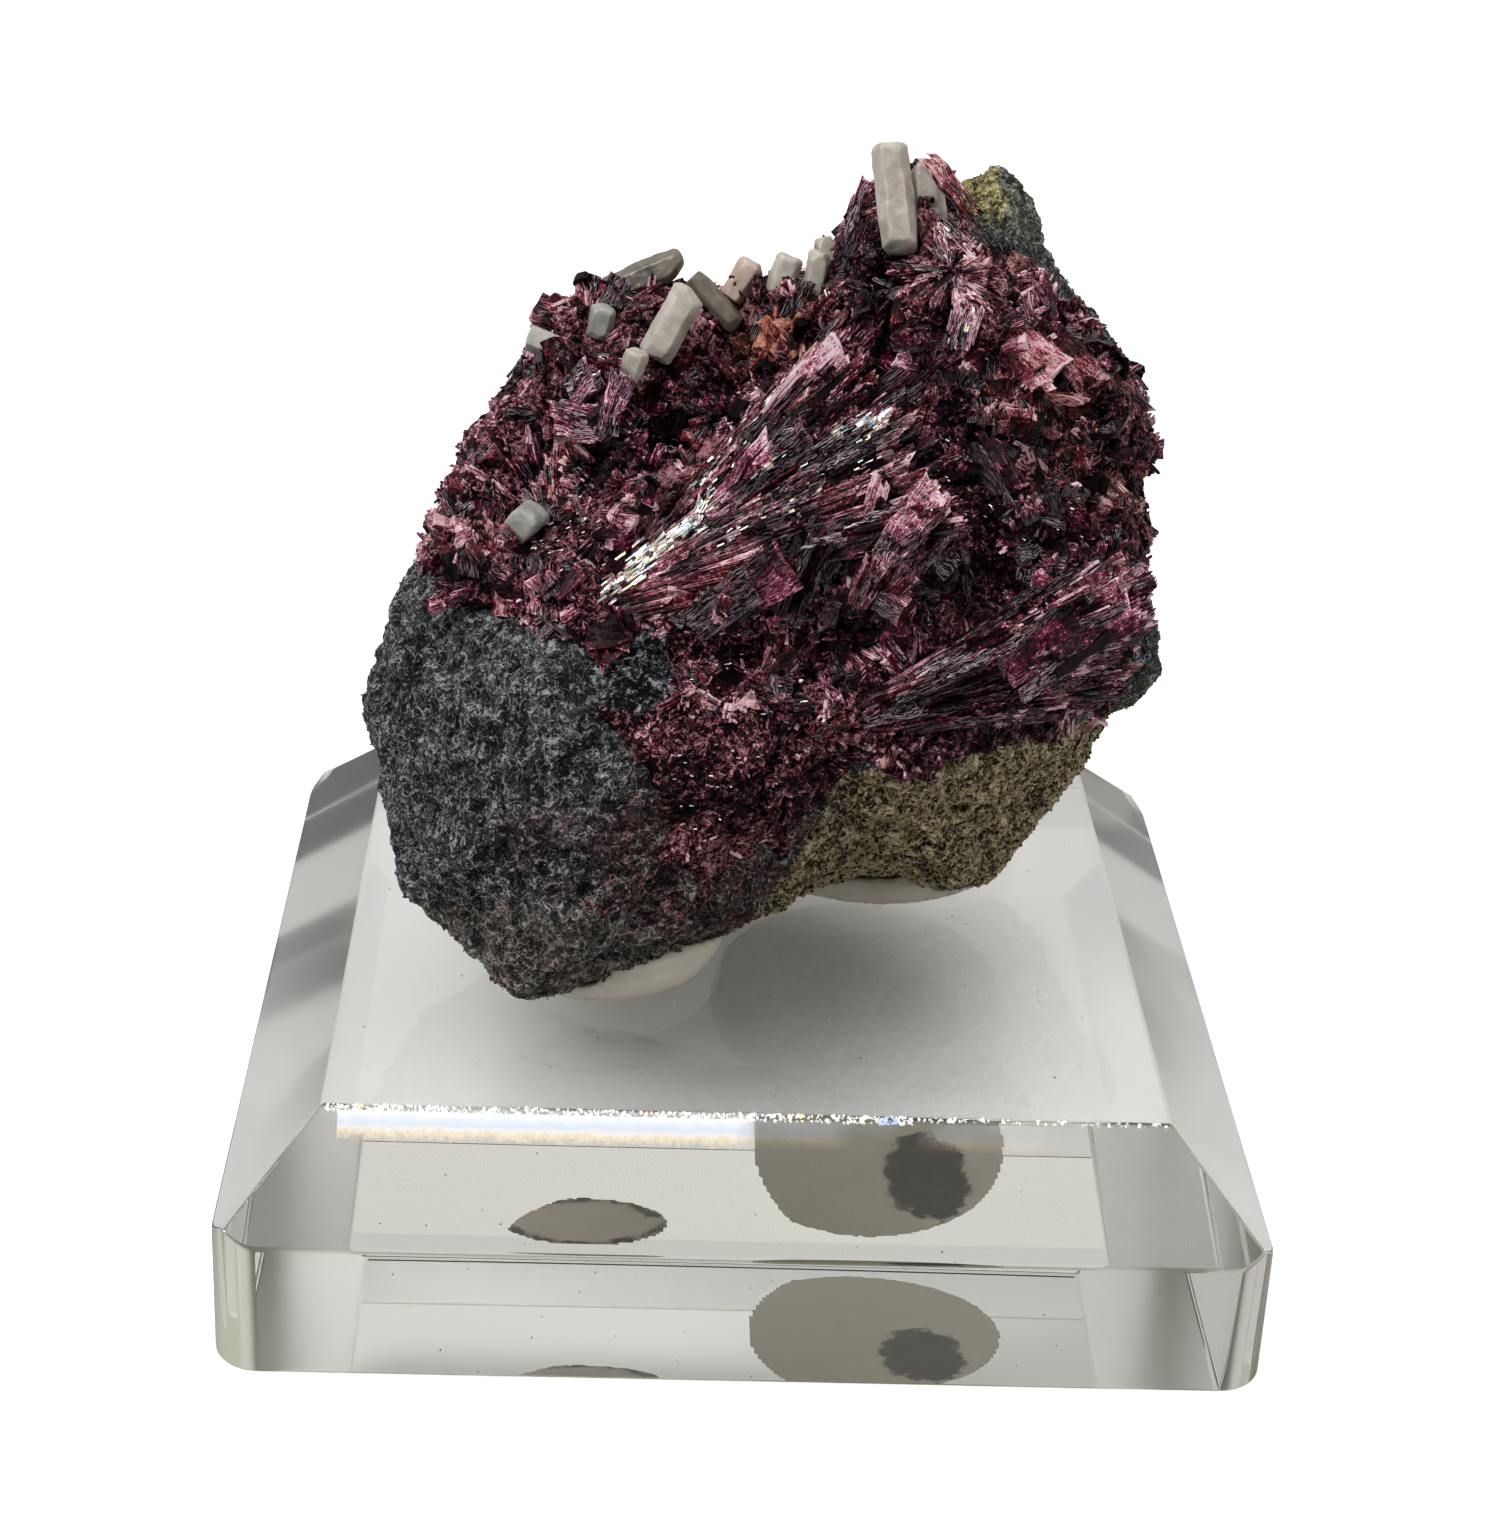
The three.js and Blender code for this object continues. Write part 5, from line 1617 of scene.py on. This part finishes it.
def make_crystal(node):
    crystal = merged_copy(node.replace("crystal", "prism"), node)
    break_corners(crystal, 9, 0.8)
    bevel_edges(crystal, 0.06 * MM, 2)
    even_mesh(crystal, 0.08 * MM, 1)
    roughen(crystal, -0.02, (0.4, 380.0), (0.1, 800.0), (0.04, 5000.0))
    crystal.data.shade_smooth()
    grey = node.startswith("grey")
    usual = grey_finish if grey else pale_finish
    crystal.data.materials.append(CRYSTAL_FINISHES.get(node, usual))
    hand_in(crystal, "grey_crystal" if grey else "pale_crystal", node)


for node in CRYSTAL_NODES:
    make_crystal(node)

# %% Tiny pale crystals
# name, middle on the face and depth, length and width, turn in degrees
TINY_CRYSTALS = [
    ("left", (-14.2, -0.1, 7.6), (1.1, 0.9), 60),
    ("far_left", (-11.7, 10.9, 4.0), (1.7, 1.1), 70),
    ("crest", (2.4, 16.4, 2.6), (1.5, 1.0), 15),
    ("splinter", (0.3, 14.7, 3.2), (2.0, 0.8), -10),
]


TINY_LEAN = math.radians(20)


def make_tiny_crystal(name, middle, sizes, turn):
    form = bmesh.new()
    bmesh.ops.create_cube(form, size=1.0)
    length, width = sizes
    for corner in form.verts:
        corner.co = Vector((corner.co.x * width, corner.co.y * length, corner.co.z * width * 0.8))
    crystal = object_from(form, "tiny_prism_" + name)
    break_corners(crystal, 7, 0.7)
    spin = Matrix.Rotation(math.radians(turn), 3, "Z") @ Matrix.Rotation(TINY_LEAN, 3, "Y")
    places = to_frame(corners_of(crystal.data) @ np.array(spin).T + np.array(middle))
    crystal.data.vertices.foreach_set("co", places.astype(np.float32).ravel())
    crystal.data.update()
    even_mesh(crystal, 0.06 * MM, 1)
    crystal.data.shade_smooth()
    crystal.data.materials.append(ashen_finish if "left" in name else pale_finish)
    hand_in(crystal, "pale_crystal", "pale_crystal_cube")


for name, middle, sizes, turn in TINY_CRYSTALS:
    make_tiny_crystal(name, middle, sizes, turn)

# %% [markdown]
# ## Putty pads
# The putty is soft, so its rim bulges and its edge is round. Where a pad bonds to the acrylic there is no air
# between them, so it reaches a hair's breadth into the block and shows its colour through the front. The back
# pad bonds nearly all over, the front pad only in a small oval, and a thin film of air hides the rest of it.
# %% Putty pads
PAD_VOXEL = 0.2 * MM
DARK_PATCH_PLACE = (10.9, 7.0)
DARK_PATCH_SIZE = (2.4, 4.0)
# middle and half sizes of the part of a pad that bonds to the block
BONDS = {"putty_pad_front": ((-7.9, 2.2), (4.5, 2.1)), "putty_pad_back": ((8.5, 10.0), (7.2, 10.6))}
# how far below its solid's foot the bonded part ends, and how far above it the rest, in mm
BONDED_FOOT, LOOSE_FOOT = -0.02, 0.03


def make_pad(name, node):
    pad = even_mesh(merged_copy(name, node), PAD_VOXEL, 6)
    roughen(pad, 0.0, (0.25, 150.0), (0.08, 600.0), (0.0, 3000.0))
    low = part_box(node)[0].z
    places = corners_of(pad.data)
    foot = places[:, 2] < low + PAD_VOXEL
    x, y = places[:, 0] / MM, places[:, 1] / MM
    (bond_x, bond_y), (half_x, half_y) = BONDS[node]
    from_bond = np.hypot((x - bond_x) / half_x, (y - bond_y) / half_y)
    places[foot, 2] = low + np.where(from_bond[foot] < 1, BONDED_FOOT, LOOSE_FOOT) * MM
    pad.data.vertices.foreach_set("co", places.astype(np.float32).ravel())
    blot = 1 - np.hypot((x - DARK_PATCH_PLACE[0]) / DARK_PATCH_SIZE[0], (y - DARK_PATCH_PLACE[1]) / DARK_PATCH_SIZE[1])
    ring = 0.12 - np.abs(from_bond - 0.93) * 1.5
    paint(pad.data, "dark_patch", np.maximum(blot, np.where(foot & (node == "putty_pad_front"), ring, -1)))
    pad.data.shade_smooth()
    pad.data.materials.append(putty_finish)
    hand_in(pad, "putty", node)
    return pad


for place in ("front", "back"):
    make_pad(f"putty_{place}", f"putty_pad_{place}")

# %% [markdown]
# ## The clear block
# The block is cast acrylic, cut and polished. Its upright corners are well rounded and its four sloping faces
# are cut straight, so it is built the same way: a rounded outline is raised, and four planes cut the slopes.
# Real edges are never sharp, so each gets a narrow bevel. Seen through the front, the far corners look dark.
# %% Clear block
UPRIGHT_ROUND = 2.3 * MM
EDGE_ROUND = 0.14 * MM
SLOPE_START = 7.0 * MM
ARC_STEPS = 14
LARGEST_ROUND_FACE = 12 * MM * MM


def rounded_outline(low, high):
    """The four rounded corners of the block, as seen from above."""
    outline = []
    for quarter in range(4):
        turn = quarter * math.pi / 2
        right, far = (math.cos(turn + math.pi / 4) > 0), (math.sin(turn + math.pi / 4) > 0)
        middle_x = high.x - UPRIGHT_ROUND if right else low.x + UPRIGHT_ROUND
        middle_y = high.y - UPRIGHT_ROUND if far else low.y + UPRIGHT_ROUND
        for angle in turn + np.linspace(0, math.pi / 2, ARC_STEPS + 1):
            x = middle_x + UPRIGHT_ROUND * math.cos(angle)
            y = middle_y + UPRIGHT_ROUND * math.sin(angle)
            outline.append((x, y))
    return outline


def make_block():
    low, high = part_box("acrylic_block")
    form = bmesh.new()
    base = form.faces.new([form.verts.new((x, y, low.z)) for x, y in rounded_outline(low, high)])
    raised = bmesh.ops.extrude_face_region(form, geom=[base])["geom"]
    corners = [item for item in raised if isinstance(item, bmesh.types.BMVert)]
    bmesh.ops.translate(form, verts=corners, vec=(0, 0, high.z - low.z))
    for x, y in ((1, 0), (0, 1), (-1, 0), (0, -1)):
        cut_flat(form, Vector((x * high.x, y * high.y, SLOPE_START)), (x, y, 1))
    bmesh.ops.recalc_face_normals(form, faces=form.faces)
    block = bevel_edges(object_from(form, "clear_block"), EDGE_ROUND, 3)
    for face in block.data.polygons:
        face.use_smooth = face.area < LARGEST_ROUND_FACE
    block.data.materials.append(acrylic_finish)
    hand_in(block, "acrylic", "acrylic_block")
    return block


clear_block = make_block()

# %% [markdown]
# ## Chips, dust and specks on the block
# The front edge at the top is chipped: a row of tiny facets glitters along it, and the chips glow faintly
# with painted light. A little dust and a few crumbs of rock lie on the top. Both are small blocks on random
# points, from the same tree as the rock's grains.
# The points come from plain strips of faces, which are made for this and not kept.
# %% Chips and specks
def make_speck_finish(name, tones, scale, glow=0.0):
    material, tree, shader, place = new_material(name)
    colour = ramp(tree, noise(tree, place, scale, 2.0), tones)
    fill(tree, shader, {
        "Base Color": colour,
        "Roughness": between(tree, noise(tree, place, 3000.0), 0.2, 0.8),
        "Emission Color": colour,
        "Emission Strength": glow,
    })
    return material


# the chips' colours, which they also give off as painted light
CHIP_TONES = [
    (0.3, (0.45, 0.55, 0.8)),
    (0.42, (0.85, 0.86, 0.88)),
    (0.6, (0.9, 0.9, 0.88)),
    (0.7, (0.85, 0.7, 0.5)),
]
SPECK_TONES = [(0.35, (0.02, 0.015, 0.012)), (0.5, (0.25, 0.22, 0.2)), (0.6, (0.7, 0.68, 0.64))]
glowing_chip_finish = make_speck_finish("glowing chipped acrylic", CHIP_TONES, 900.0, 0.5)
speck_finish = make_speck_finish("specks", SPECK_TONES, 1500.0)


def make_strip(name, corners):
    mesh = bpy.data.meshes.new(name)
    mesh.from_pydata([Vector(corner) * MM for corner in corners], [], [tuple(range(len(corners)))])
    strip = new_object(name, mesh)
    paint(mesh, "everywhere", np.ones(len(corners)))
    return strip


def sprinkle(name, corners, density, least, most, finish, seed, slot, node):
    strip = make_strip(name + "_strip", corners)
    made = scatter(name, strip, "everywhere", density, least, most, 1.2, finish, seed)
    bpy.data.objects.remove(strip)
    hand_in(made, slot, node)


CHIP_STRIP = [(-20.2, -20.62, 11.74), (8, -20.62, 11.74), (8, -20.3, 11.96), (-20.2, -20.3, 11.96)]
SPARSE_STRIP = [(8, -20.5, 11.86), (20.2, -20.5, 11.86), (20.2, -20.34, 11.96), (8, -20.34, 11.96)]
TOP_STRIP = [(-19, -19, 12.0), (19, -19, 12.0), (19, 19, 12.0), (-19, 19, 12.0)]
CHIP_SIZES = ((0.04, 0.04, 0.02), (0.2, 0.14, 0.1))
SPECK_SIZES = ((0.04, 0.04, 0.02), (0.13, 0.1, 0.06))
sprinkle("edge_chips", CHIP_STRIP, 60e6, *CHIP_SIZES, glowing_chip_finish, 21, "acrylic", "acrylic_block")
sprinkle("sparse_chips", SPARSE_STRIP, 30e6, *CHIP_SIZES, glowing_chip_finish, 22, "acrylic", "acrylic_block")
sprinkle("top_specks", TOP_STRIP, 0.06e6, *SPECK_SIZES, speck_finish, 23, "host_rock", "matrix_rock")

# %% [markdown]
# ## The coloured fringe under the chips
# Light that leaves by the chipped edge is spread into colours: bluish white above, orange below. A film a
# hundredth of a millimetre thick on the sloping face carries them. Its attribute runs from the edge down, and
# sets both the colour and how much of the film is seen. Real dispersion would need far more samples.
# %% Fringe
FRINGE_TONES = [
    (0.0, (0.88, 0.9, 0.95)),
    (0.4, (0.6, 0.67, 0.82)),
    (0.58, (0.78, 0.75, 0.68)),
    (0.74, (0.9, 0.7, 0.42)),
    (1.0, (0.85, 0.8, 0.65)),
]
# the film ends softly in the middle of the front, and only faint patches of it go on to the right
FRINGE_END = (0.8 * MM, -0.8 * MM)
FAINT_PATCHES = 0.16
MOST_SEEN = 0.46
# in mm: how far it goes down the slope, how thick it is, its gap to the slope, and the slope's top edge
FRINGE_DROP = 1.05
FRINGE_THICKNESS = 0.01
FRINGE_GAP = 0.005
FRINGE_HALF_WIDTH = 19.6
FRINGE_TOP, FRINGE_FRONT = 11.8, -20.6
FRINGE_COLUMNS = 40


def make_fringe_finish():
    material, tree, shader, place = new_material("coloured fringe")
    streaks = noise(tree, place, 2600.0, 3.0)
    moved = plus(tree, attribute(tree, "down"), streaks, 0.4, middle=0.5, clamp=True)
    colour = ramp(tree, moved, FRINGE_TONES)
    across = add_node(tree, "ShaderNodeSeparateXYZ", {0: place}).outputs[0]
    patches = between(tree, noise(tree, place, 160.0, 2.0), 0.35, 0.6)
    patches = calc(tree, "MULTIPLY", patches, FAINT_PATCHES)
    broad = calc(tree, "MAXIMUM", between(tree, across, *FRINGE_END), patches)
    seen = calc(tree, "MULTIPLY", between(tree, moved, 1.0, 0.5), broad)
    fill(tree, shader, {
        "Base Color": colour,
        "Emission Color": colour,
        "Emission Strength": 0.35,
        "Alpha": calc(tree, "MULTIPLY", seen, MOST_SEEN),
        "Roughness": 0.6,
    })
    return material


def make_fringe():
    """A thin closed film on the front slope, from the top edge down."""
    near, far = FRINGE_GAP, FRINGE_GAP + FRINGE_THICKNESS
    places, down = [], []
    for x in np.linspace(-FRINGE_HALF_WIDTH, FRINGE_HALF_WIDTH, FRINGE_COLUMNS + 1):
        for drop, out in ((0, near), (FRINGE_DROP, near), (FRINGE_DROP, far), (0, far)):
            places.append(Vector((x, FRINGE_FRONT - drop - out, FRINGE_TOP - drop + out)) * MM)
            down.append(drop / FRINGE_DROP)
    faces = [(3, 2, 1, 0), tuple(4 * FRINGE_COLUMNS + i for i in range(4))]
    for column in range(FRINGE_COLUMNS):
        for side in range(4):
            a, b = 4 * column + side, 4 * column + (side + 1) % 4
            faces.append((a, b, b + 4, a + 4))
    mesh = bpy.data.meshes.new("edge_fringe")
    mesh.from_pydata(places, [], faces)
    form = bmesh.new()
    form.from_mesh(mesh)
    bmesh.ops.recalc_face_normals(form, faces=form.faces)
    form.to_mesh(mesh)
    form.free()
    paint(mesh, "down", down)
    fringe = new_object("edge_fringe", mesh, make_fringe_finish())
    hand_in(fringe, "acrylic", "acrylic_block")


make_fringe()

# %% [markdown]
# ## Floor and light
# The block stands on a plain pale floor, a breath of air under it, so that light can be thrown back inside it
# from its underside as in the real thing. The photograph was cut out on pure white, while the light that came
# through the block had met an ordinary table. So the floor is white to the camera. To light that comes by way
# of the block the floor carries painted light: a glow in a ring round the block, a little brighter close to it,
# with a painted shadow of the specimen in the middle, and painted dark farther out, which gives the block its
# even grey front and the dark shapes at its ends. Light Path tells the two apart. A soft key light stands at
# the upper left in front, a weaker one at the right, and the world is a studio: bright behind the object, dim
# behind the camera, which keeps hollows dark.
# %% Floor
FLOOR_HALF = 1500 * MM
FLOOR_GAP = 0.08 * MM
FLOOR_TONES = [(0.3, (0.52, 0.52, 0.52)), (0.7, (0.56, 0.56, 0.56))]
FAR_FLOOR_PAINTED_DARK = (0.1, 0.095, 0.075, 1.0)
BLACK, WHITE = (0, 0, 0, 1), (1, 1, 1, 1)
# distances from the middle between which the painted shadow of the specimen ends, the painted glow of the ring
# dims, and the ring ends
SHADOW_ENDS = (6 * MM, 22 * MM)
RING_DIMS = (29 * MM, 25 * MM)
RING_ENDS = (41.5 * MM, 40 * MM)
DIM_SHARE = 0.38
RING_GLOW = 0.58
FLOOR_GLOW = 0.8


def make_floor():
    corners = [(x * FLOOR_HALF, y * FLOOR_HALF, -FLOOR_GAP) for x, y in ((-1, -1), (1, -1), (1, 1), (-1, 1))]
    mesh = bpy.data.meshes.new("floor")
    mesh.from_pydata(corners, [], [(0, 1, 2, 3)])
    material, tree, shader, place = new_material("pale floor")
    path = add_node(tree, "ShaderNodeLightPath").outputs
    from_middle = add_node(tree, "ShaderNodeVectorMath", {0: place}, operation="LENGTH").outputs["Value"]
    across, along, _ = add_node(tree, "ShaderNodeSeparateXYZ", {0: place}).outputs
    out = calc(tree, "MAXIMUM", calc(tree, "ABSOLUTE", across), calc(tree, "ABSOLUTE", along))
    tones = ramp(tree, noise(tree, place, 3.0, 2.0), FLOOR_TONES)
    # for light through the block: painted dark beyond the ring, a painted shadow of the specimen in the middle
    # and a painted glow in the ring
    beyond = between(tree, out, *reversed(RING_ENDS))
    dark = calc(tree, "MULTIPLY", path["Is Transmission Ray"], beyond)
    lit = between(tree, from_middle, *SHADOW_ENDS)
    ring = plus(tree, DIM_SHARE, between(tree, out, *RING_DIMS), 1 - DIM_SHARE)
    ring = calc(tree, "MULTIPLY", ring, between(tree, out, *RING_ENDS))
    glow = calc(tree, "MULTIPLY", path["Is Transmission Ray"], calc(tree, "MULTIPLY", lit, ring))
    seen = calc(tree, "MAXIMUM", path["Is Camera Ray"], calc(tree, "MULTIPLY", glow, RING_GLOW))
    fill(tree, shader, {
        "Base Color": mix(tree, dark, tones, FAR_FLOOR_PAINTED_DARK),
        "Emission Color": mix(tree, seen, BLACK, WHITE),
        "Emission Strength": FLOOR_GLOW,
        "Roughness": 0.9,
        "Specular IOR Level": 0.0,
    })
    floor = new_object("floor", mesh, material)


make_floor()
print("floor made")

# %% Lights
LIGHT_AIM = Vector((0, 0, 25)) * MM
LIGHT_SIZE = 0.2
RIGHT_LIGHT_PLACE = Vector((360, -160, 300)) * MM


def add_light(name, place, power):
    data = bpy.data.lights.new(name, "AREA")
    data.shape = "DISK"
    data.size = LIGHT_SIZE
    data.energy = power
    light = bpy.data.objects.new(name, data)
    light.location = place
    light.rotation_euler = (LIGHT_AIM - place).to_track_quat("-Z", "Y").to_euler()
    bpy.context.scene.collection.objects.link(light)


add_light("key light", KEY_LIGHT_PLACE, 2.1)
add_light("right light", RIGHT_LIGHT_PLACE, 0.5)
print("lights made")

# %% Studio walls and ceiling
# from behind the camera, by the sides, to behind the object
WALL_TONES = [
    (0.25, (0.09, 0.09, 0.095)),
    (0.5, (0.27, 0.26, 0.22)),
    (0.66, (0.33, 0.32, 0.28)),
    (0.82, (0.6, 0.6, 0.59)),
]
CEILING = (0.77, 0.765, 0.735, 1.0)
CEILING_STARTS = (0.6, 0.92)


def make_studio():
    sky = bpy.data.worlds.new("studio")
    sky.use_nodes = True
    tree = sky.node_tree
    direction = add_node(tree, "ShaderNodeTexCoord").outputs["Generated"]
    _, away, up = add_node(tree, "ShaderNodeSeparateXYZ", {0: direction}).outputs
    behind = add_node(tree, "ShaderNodeMapRange", {0: away, 1: -1.0, 2: 1.0}).outputs[0]
    walls = ramp(tree, behind, WALL_TONES)
    ceiling = between(tree, up, *CEILING_STARTS)
    fill(tree, tree.nodes["Background"], {"Color": mix(tree, ceiling, walls, CEILING)})
    return sky


bpy.context.scene.world = make_studio()
bpy.context.scene.view_settings.view_transform = "Standard"
print("studio made")
